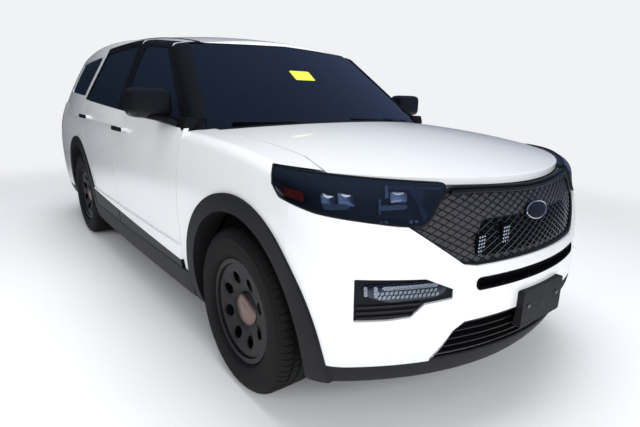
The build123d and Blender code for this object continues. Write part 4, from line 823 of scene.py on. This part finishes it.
FRONT_SEAT_Y, REAR_REST_Y = 0.39, 0.36
front, rests, posts = [], [], []
for y in (FRONT_SEAT_Y, -FRONT_SEAT_Y):
    front += [cushion((0.17, y, 0.505), (0.265, 0.245, 0.125), -0.06),
              cushion((-0.175, y, 0.90), (0.34, 0.2401, 0.075), math.radians(101))]
    rests.append(cushion((-0.215, y, 1.355), (0.080, 0.130, 0.055), math.radians(98), 0.0, 0))
    posts += [sweep([(-0.212, y + gap, 1.20), (-0.213, y + gap, 1.30)], circle(0.007), up=(0, 1, 0))
              for gap in (0.05, -0.05)]
front_piece = piece("front_seat_padding", front + rests, cloth, "body", 60.0)
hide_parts("front_seats")
piece("headrest_posts", posts, zinc, "body")
bench = [cushion((-0.60, 0.0, 0.50), (0.225, 0.600, 0.120), -0.05, 0.0, 4),
         cushion((-0.930, 0.0, 0.84), (0.335, 0.600, 0.070), math.radians(104), 0.0, 4)]
bench += [cushion((-0.985, y, 1.225), (0.062, 0.115, 0.045), math.radians(100), 0.0, 0)
          for y in (REAR_REST_Y, -REAR_REST_Y)]
bench_piece = piece("rear_bench_padding", bench, cloth, "body", 60.0)
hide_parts("rear_seat")

# %% [markdown]
# ## Windscreen, roof and back
# Wipers rest along the foot of the screen. A blank coloured label sits high on the glass, beside the inner
# mirror. The roof's joints are covered by narrow rubber strips, and the back has a handle bar, a plate holder
# with a blank plate, and reflectors.

# %% Windscreen
frit_outer = soft_outline([(-0.790, 1.160), (-0.600, 1.635), (0.600, 1.635), (0.790, 1.160)], 240, 9)
frit_inner = soft_outline([(-0.710, 1.200), (-0.560, 1.585), (0.560, 1.585), (0.710, 1.200)], 240, 41)
rings = np.stack([on_screen(frit_outer, 0.0150), on_screen(frit_inner, 0.0150), on_screen(frit_inner, 0.0156),
                  on_screen(frit_outer, 0.0156)])
frit = (rings.reshape(-1, 3), grid_faces(4, len(frit_outer), True, True))
piece("screen_border", [frit], satin, "body")
wipers = []
for foot, tip, blade_in, blade_out in (((0.66, 1.146), (0.33, 1.196), (0.60, 1.176), (0.03, 1.196)),
                                       ((-0.02, 1.146), (-0.42, 1.192), (-0.10, 1.182), (-0.70, 1.182))):
    steps = np.linspace(0, 1, 18)[:, None]
    arm = np.asarray(foot) * (1 - steps) + np.asarray(tip) * steps
    lift = 0.040 * np.sin(np.pi * np.clip(steps[:, 0] * 0.9 + 0.08, 0, 1))
    wipers.append(sweep(on_screen(arm, -0.028 - lift), slab_section(0.016, 0.008, 0.5, 10), up=(1, 0, 1)))
    blade = np.asarray(blade_in) * (1 - steps) + np.asarray(blade_out) * steps
    wipers.append(sweep(on_screen(blade, -0.020), slab_section(0.010, 0.016, 0.5, 10), up=(1, 0, 1)))
    hub_at = on_screen(np.asarray(foot), -0.030)
    wipers.append(rounded_box(hub_at, (0.018, 0.018, 0.016), 0.6))
piece("wipers", wipers, satin, "body")
label = soft_outline([(-0.130, 1.480), (0.020, 1.480), (0.020, 1.422), (-0.130, 1.422)], 60, 3)
piece("screen_label", [plate(label, on_screen, slab_rows(-0.0014, -0.0006, 4))], label_paper, "body")
mirror_at = on_screen(np.array((0.0, 1.530)), 0.110)
stalk_foot = on_screen(np.array((0.0, 1.560)), 0.020)
stalk = sweep([stalk_foot, mirror_at + (0.012, 0, 0.004)], circle(0.008), up=(0, 1, 0))
piece("inner_mirror", [rounded_box(mirror_at, (0.016, 0.118, 0.034), 0.45), stalk], satin, "body")

# %% Roof strips
strips = []
for y in (0.5605, -0.5605):
    x = np.linspace(0.42, -1.98, 90)
    across = np.full_like(x, y)
    path = np.stack([x, across, roof_skin(x, across) + 0.0005], -1)
    strips.append(sweep(path, slab_section(0.016, 0.007, 0.6, 12)))
piece("roof_strips", strips, seal, "body")

# %% Back of the car
PLATE_HALF, PLATE_LOW, PLATE_HIGH, HOLDER_RIM = 0.155, 0.821, 0.975, 0.020


def oblong(left, right, low, high, count, rounding=3):
    """A rounded rectangle between two widths and two heights."""
    return soft_outline([(left, high), (right, high), (right, low), (left, low)], count, rounding)


plate_edge = oblong(-PLATE_HALF, PLATE_HALF, PLATE_LOW, PLATE_HIGH, 80)
frame_edge = oblong(-PLATE_HALF - HOLDER_RIM, PLATE_HALF + HOLDER_RIM, PLATE_LOW - HOLDER_RIM,
                    PLATE_HIGH + HOLDER_RIM, 80, 5)
holder, blank = slab_rows(-0.004, 0.0), slab_rows(-0.0065, -0.0042)
piece("rear_plate_holder", [plate(frame_edge, on_gate, holder)], moulded, "tailgate")
piece("rear_plate", [plate(plate_edge, on_gate, blank)], blank_plate, "tailgate")
span = np.linspace(-0.36, 0.36, 40)
bar_path = on_gate(np.stack([span, np.full_like(span, 1.050)], -1), -0.006)
piece("tailgate_bar", [sweep(bar_path, slab_section(0.022, 0.046, 0.4, 20))], satin, "tailgate")
bumper_cad = cad_points("rear_bumper")
bumper_skin = outer_skin(bumper_cad[:, 1], bumper_cad[:, 2], -bumper_cad[:, 0], 4)
on_bumper = facing(bumper_skin, -1.0)
reflectors = [plate(oblong(0.62 * side, 0.76 * side, 0.482, 0.520, 48), on_bumper, slab_rows(-0.004, 0.001))
              for side in (1, -1)]
piece("rear_reflectors", reflectors, ruby, "body")
print("rear pieces placed")

# %% [markdown]
# ## Light and floor
# The light is that of an open yard under a bright grey sky, stronger from above and ahead, with three soft
# boxes: one above, one ahead and one beside the car. Seen directly, the surroundings are a plain pale grey.
# The floor has the same grey and fades out into it, so that only the soft shadow under the car shows.

# %% Surroundings
PALE = "F1F2F4"
SUN = (0.45, 0.30, 0.84)
DIMMEST, BRIGHTEST = 0.05, 0.62
FADE_FROM, FADE_TO, FLOOR_RADIUS = 3.4, 6.5, 7.0
world = bpy.data.worlds.new("pale_sky")
world.use_nodes = True
bpy.context.scene.world = world
sky = world.node_tree
for old in list(sky.nodes):
    sky.nodes.remove(old)
path = add_node(sky, "ShaderNodeLightPath")
sky_place = add_node(sky, "ShaderNodeTexCoord")
towards_sun = add_node(sky, "ShaderNodeVectorMath", {"operation": "DOT_PRODUCT"},
                       {0: sky_place.outputs["Generated"], 1: SUN})
rise = add_node(sky, "ShaderNodeMapRange",
                links={0: towards_sun.outputs["Value"], 1: -0.35, 2: 0.95, 3: DIMMEST, 4: BRIGHTEST})
tone = add_node(sky, "ShaderNodeMix", {"data_type": "RGBA"},
                {0: path.outputs["Is Glossy Ray"], 6: linear("F0F3F8"), 7: linear("93ABDC")})
lighting = add_node(sky, "ShaderNodeBackground",
                    links={"Color": tone.outputs[2], "Strength": rise.outputs[0]})
backdrop = add_node(sky, "ShaderNodeBackground", links={"Color": linear(PALE), "Strength": 1.0})
chosen = add_node(sky, "ShaderNodeMixShader", links={0: path.outputs["Is Camera Ray"], 1: lighting.outputs[0],
                                                     2: backdrop.outputs[0]})
add_node(sky, "ShaderNodeOutputWorld", links={0: chosen.outputs[0]})

floor_look = finish("floor_pale", PALE, PALE, Roughness=0.9)
tree = floor_look.node_tree
floor_shader = tree.nodes["Principled BSDF"]
floor_place = add_node(tree, "ShaderNodeTexCoord")
reach = add_node(tree, "ShaderNodeVectorMath", {"operation": "LENGTH"}, {0: floor_place.outputs["Object"]})
fade = add_node(tree, "ShaderNodeMapRange", {"interpolation_type": "SMOOTHSTEP"},
                {0: reach.outputs["Value"], 1: FADE_FROM, 2: FADE_TO, 3: 1.0, 4: 0.0})
tree.links.new(fade.outputs[0], floor_shader.inputs["Alpha"])
ring = np.linspace(0, 2 * np.pi, 96, endpoint=False)
disc = FLOOR_RADIUS * np.stack([np.cos(ring), np.sin(ring), np.zeros_like(ring)], -1)
ground = bpy.data.meshes.new("floor")
ground.from_pydata(disc.tolist(), [], [list(range(len(disc)))])
ground.materials.append(floor_look)
floor = bpy.data.objects.new("floor", ground)
bpy.context.scene.collection.objects.link(floor)


def lamp(name, at, aim, size, power):
    """A square area light at a point, turned towards another."""
    source = bpy.data.lights.new(name, "AREA")
    source.energy = power
    source.size = size
    made = bpy.data.objects.new(name, source)
    back = np.asarray(at, float) - aim
    back /= np.linalg.norm(back)
    across = np.cross((0, 0, 1), back)
    across /= np.linalg.norm(across)
    turned = Matrix(np.stack([across, np.cross(back, across), back], 1).tolist()).to_4x4()
    made.matrix_world = Matrix.Translation(at) @ turned
    made.visible_glossy = False
    made.visible_transmission = False
    bpy.context.scene.collection.objects.link(made)


lamp("top_light", (0.4, 0.3, 6.8), (0.3, 0, 0), 5.5, 350)
lamp("front_light", (7.5, -2.6, 3.4), (1.8, 0, 0.7), 3.5, 270)
lamp("side_light", (0.5, -7.5, 2.8), (0.2, 0, 0.9), 4.0, 150)
bpy.context.scene.view_settings.view_transform = "Standard"
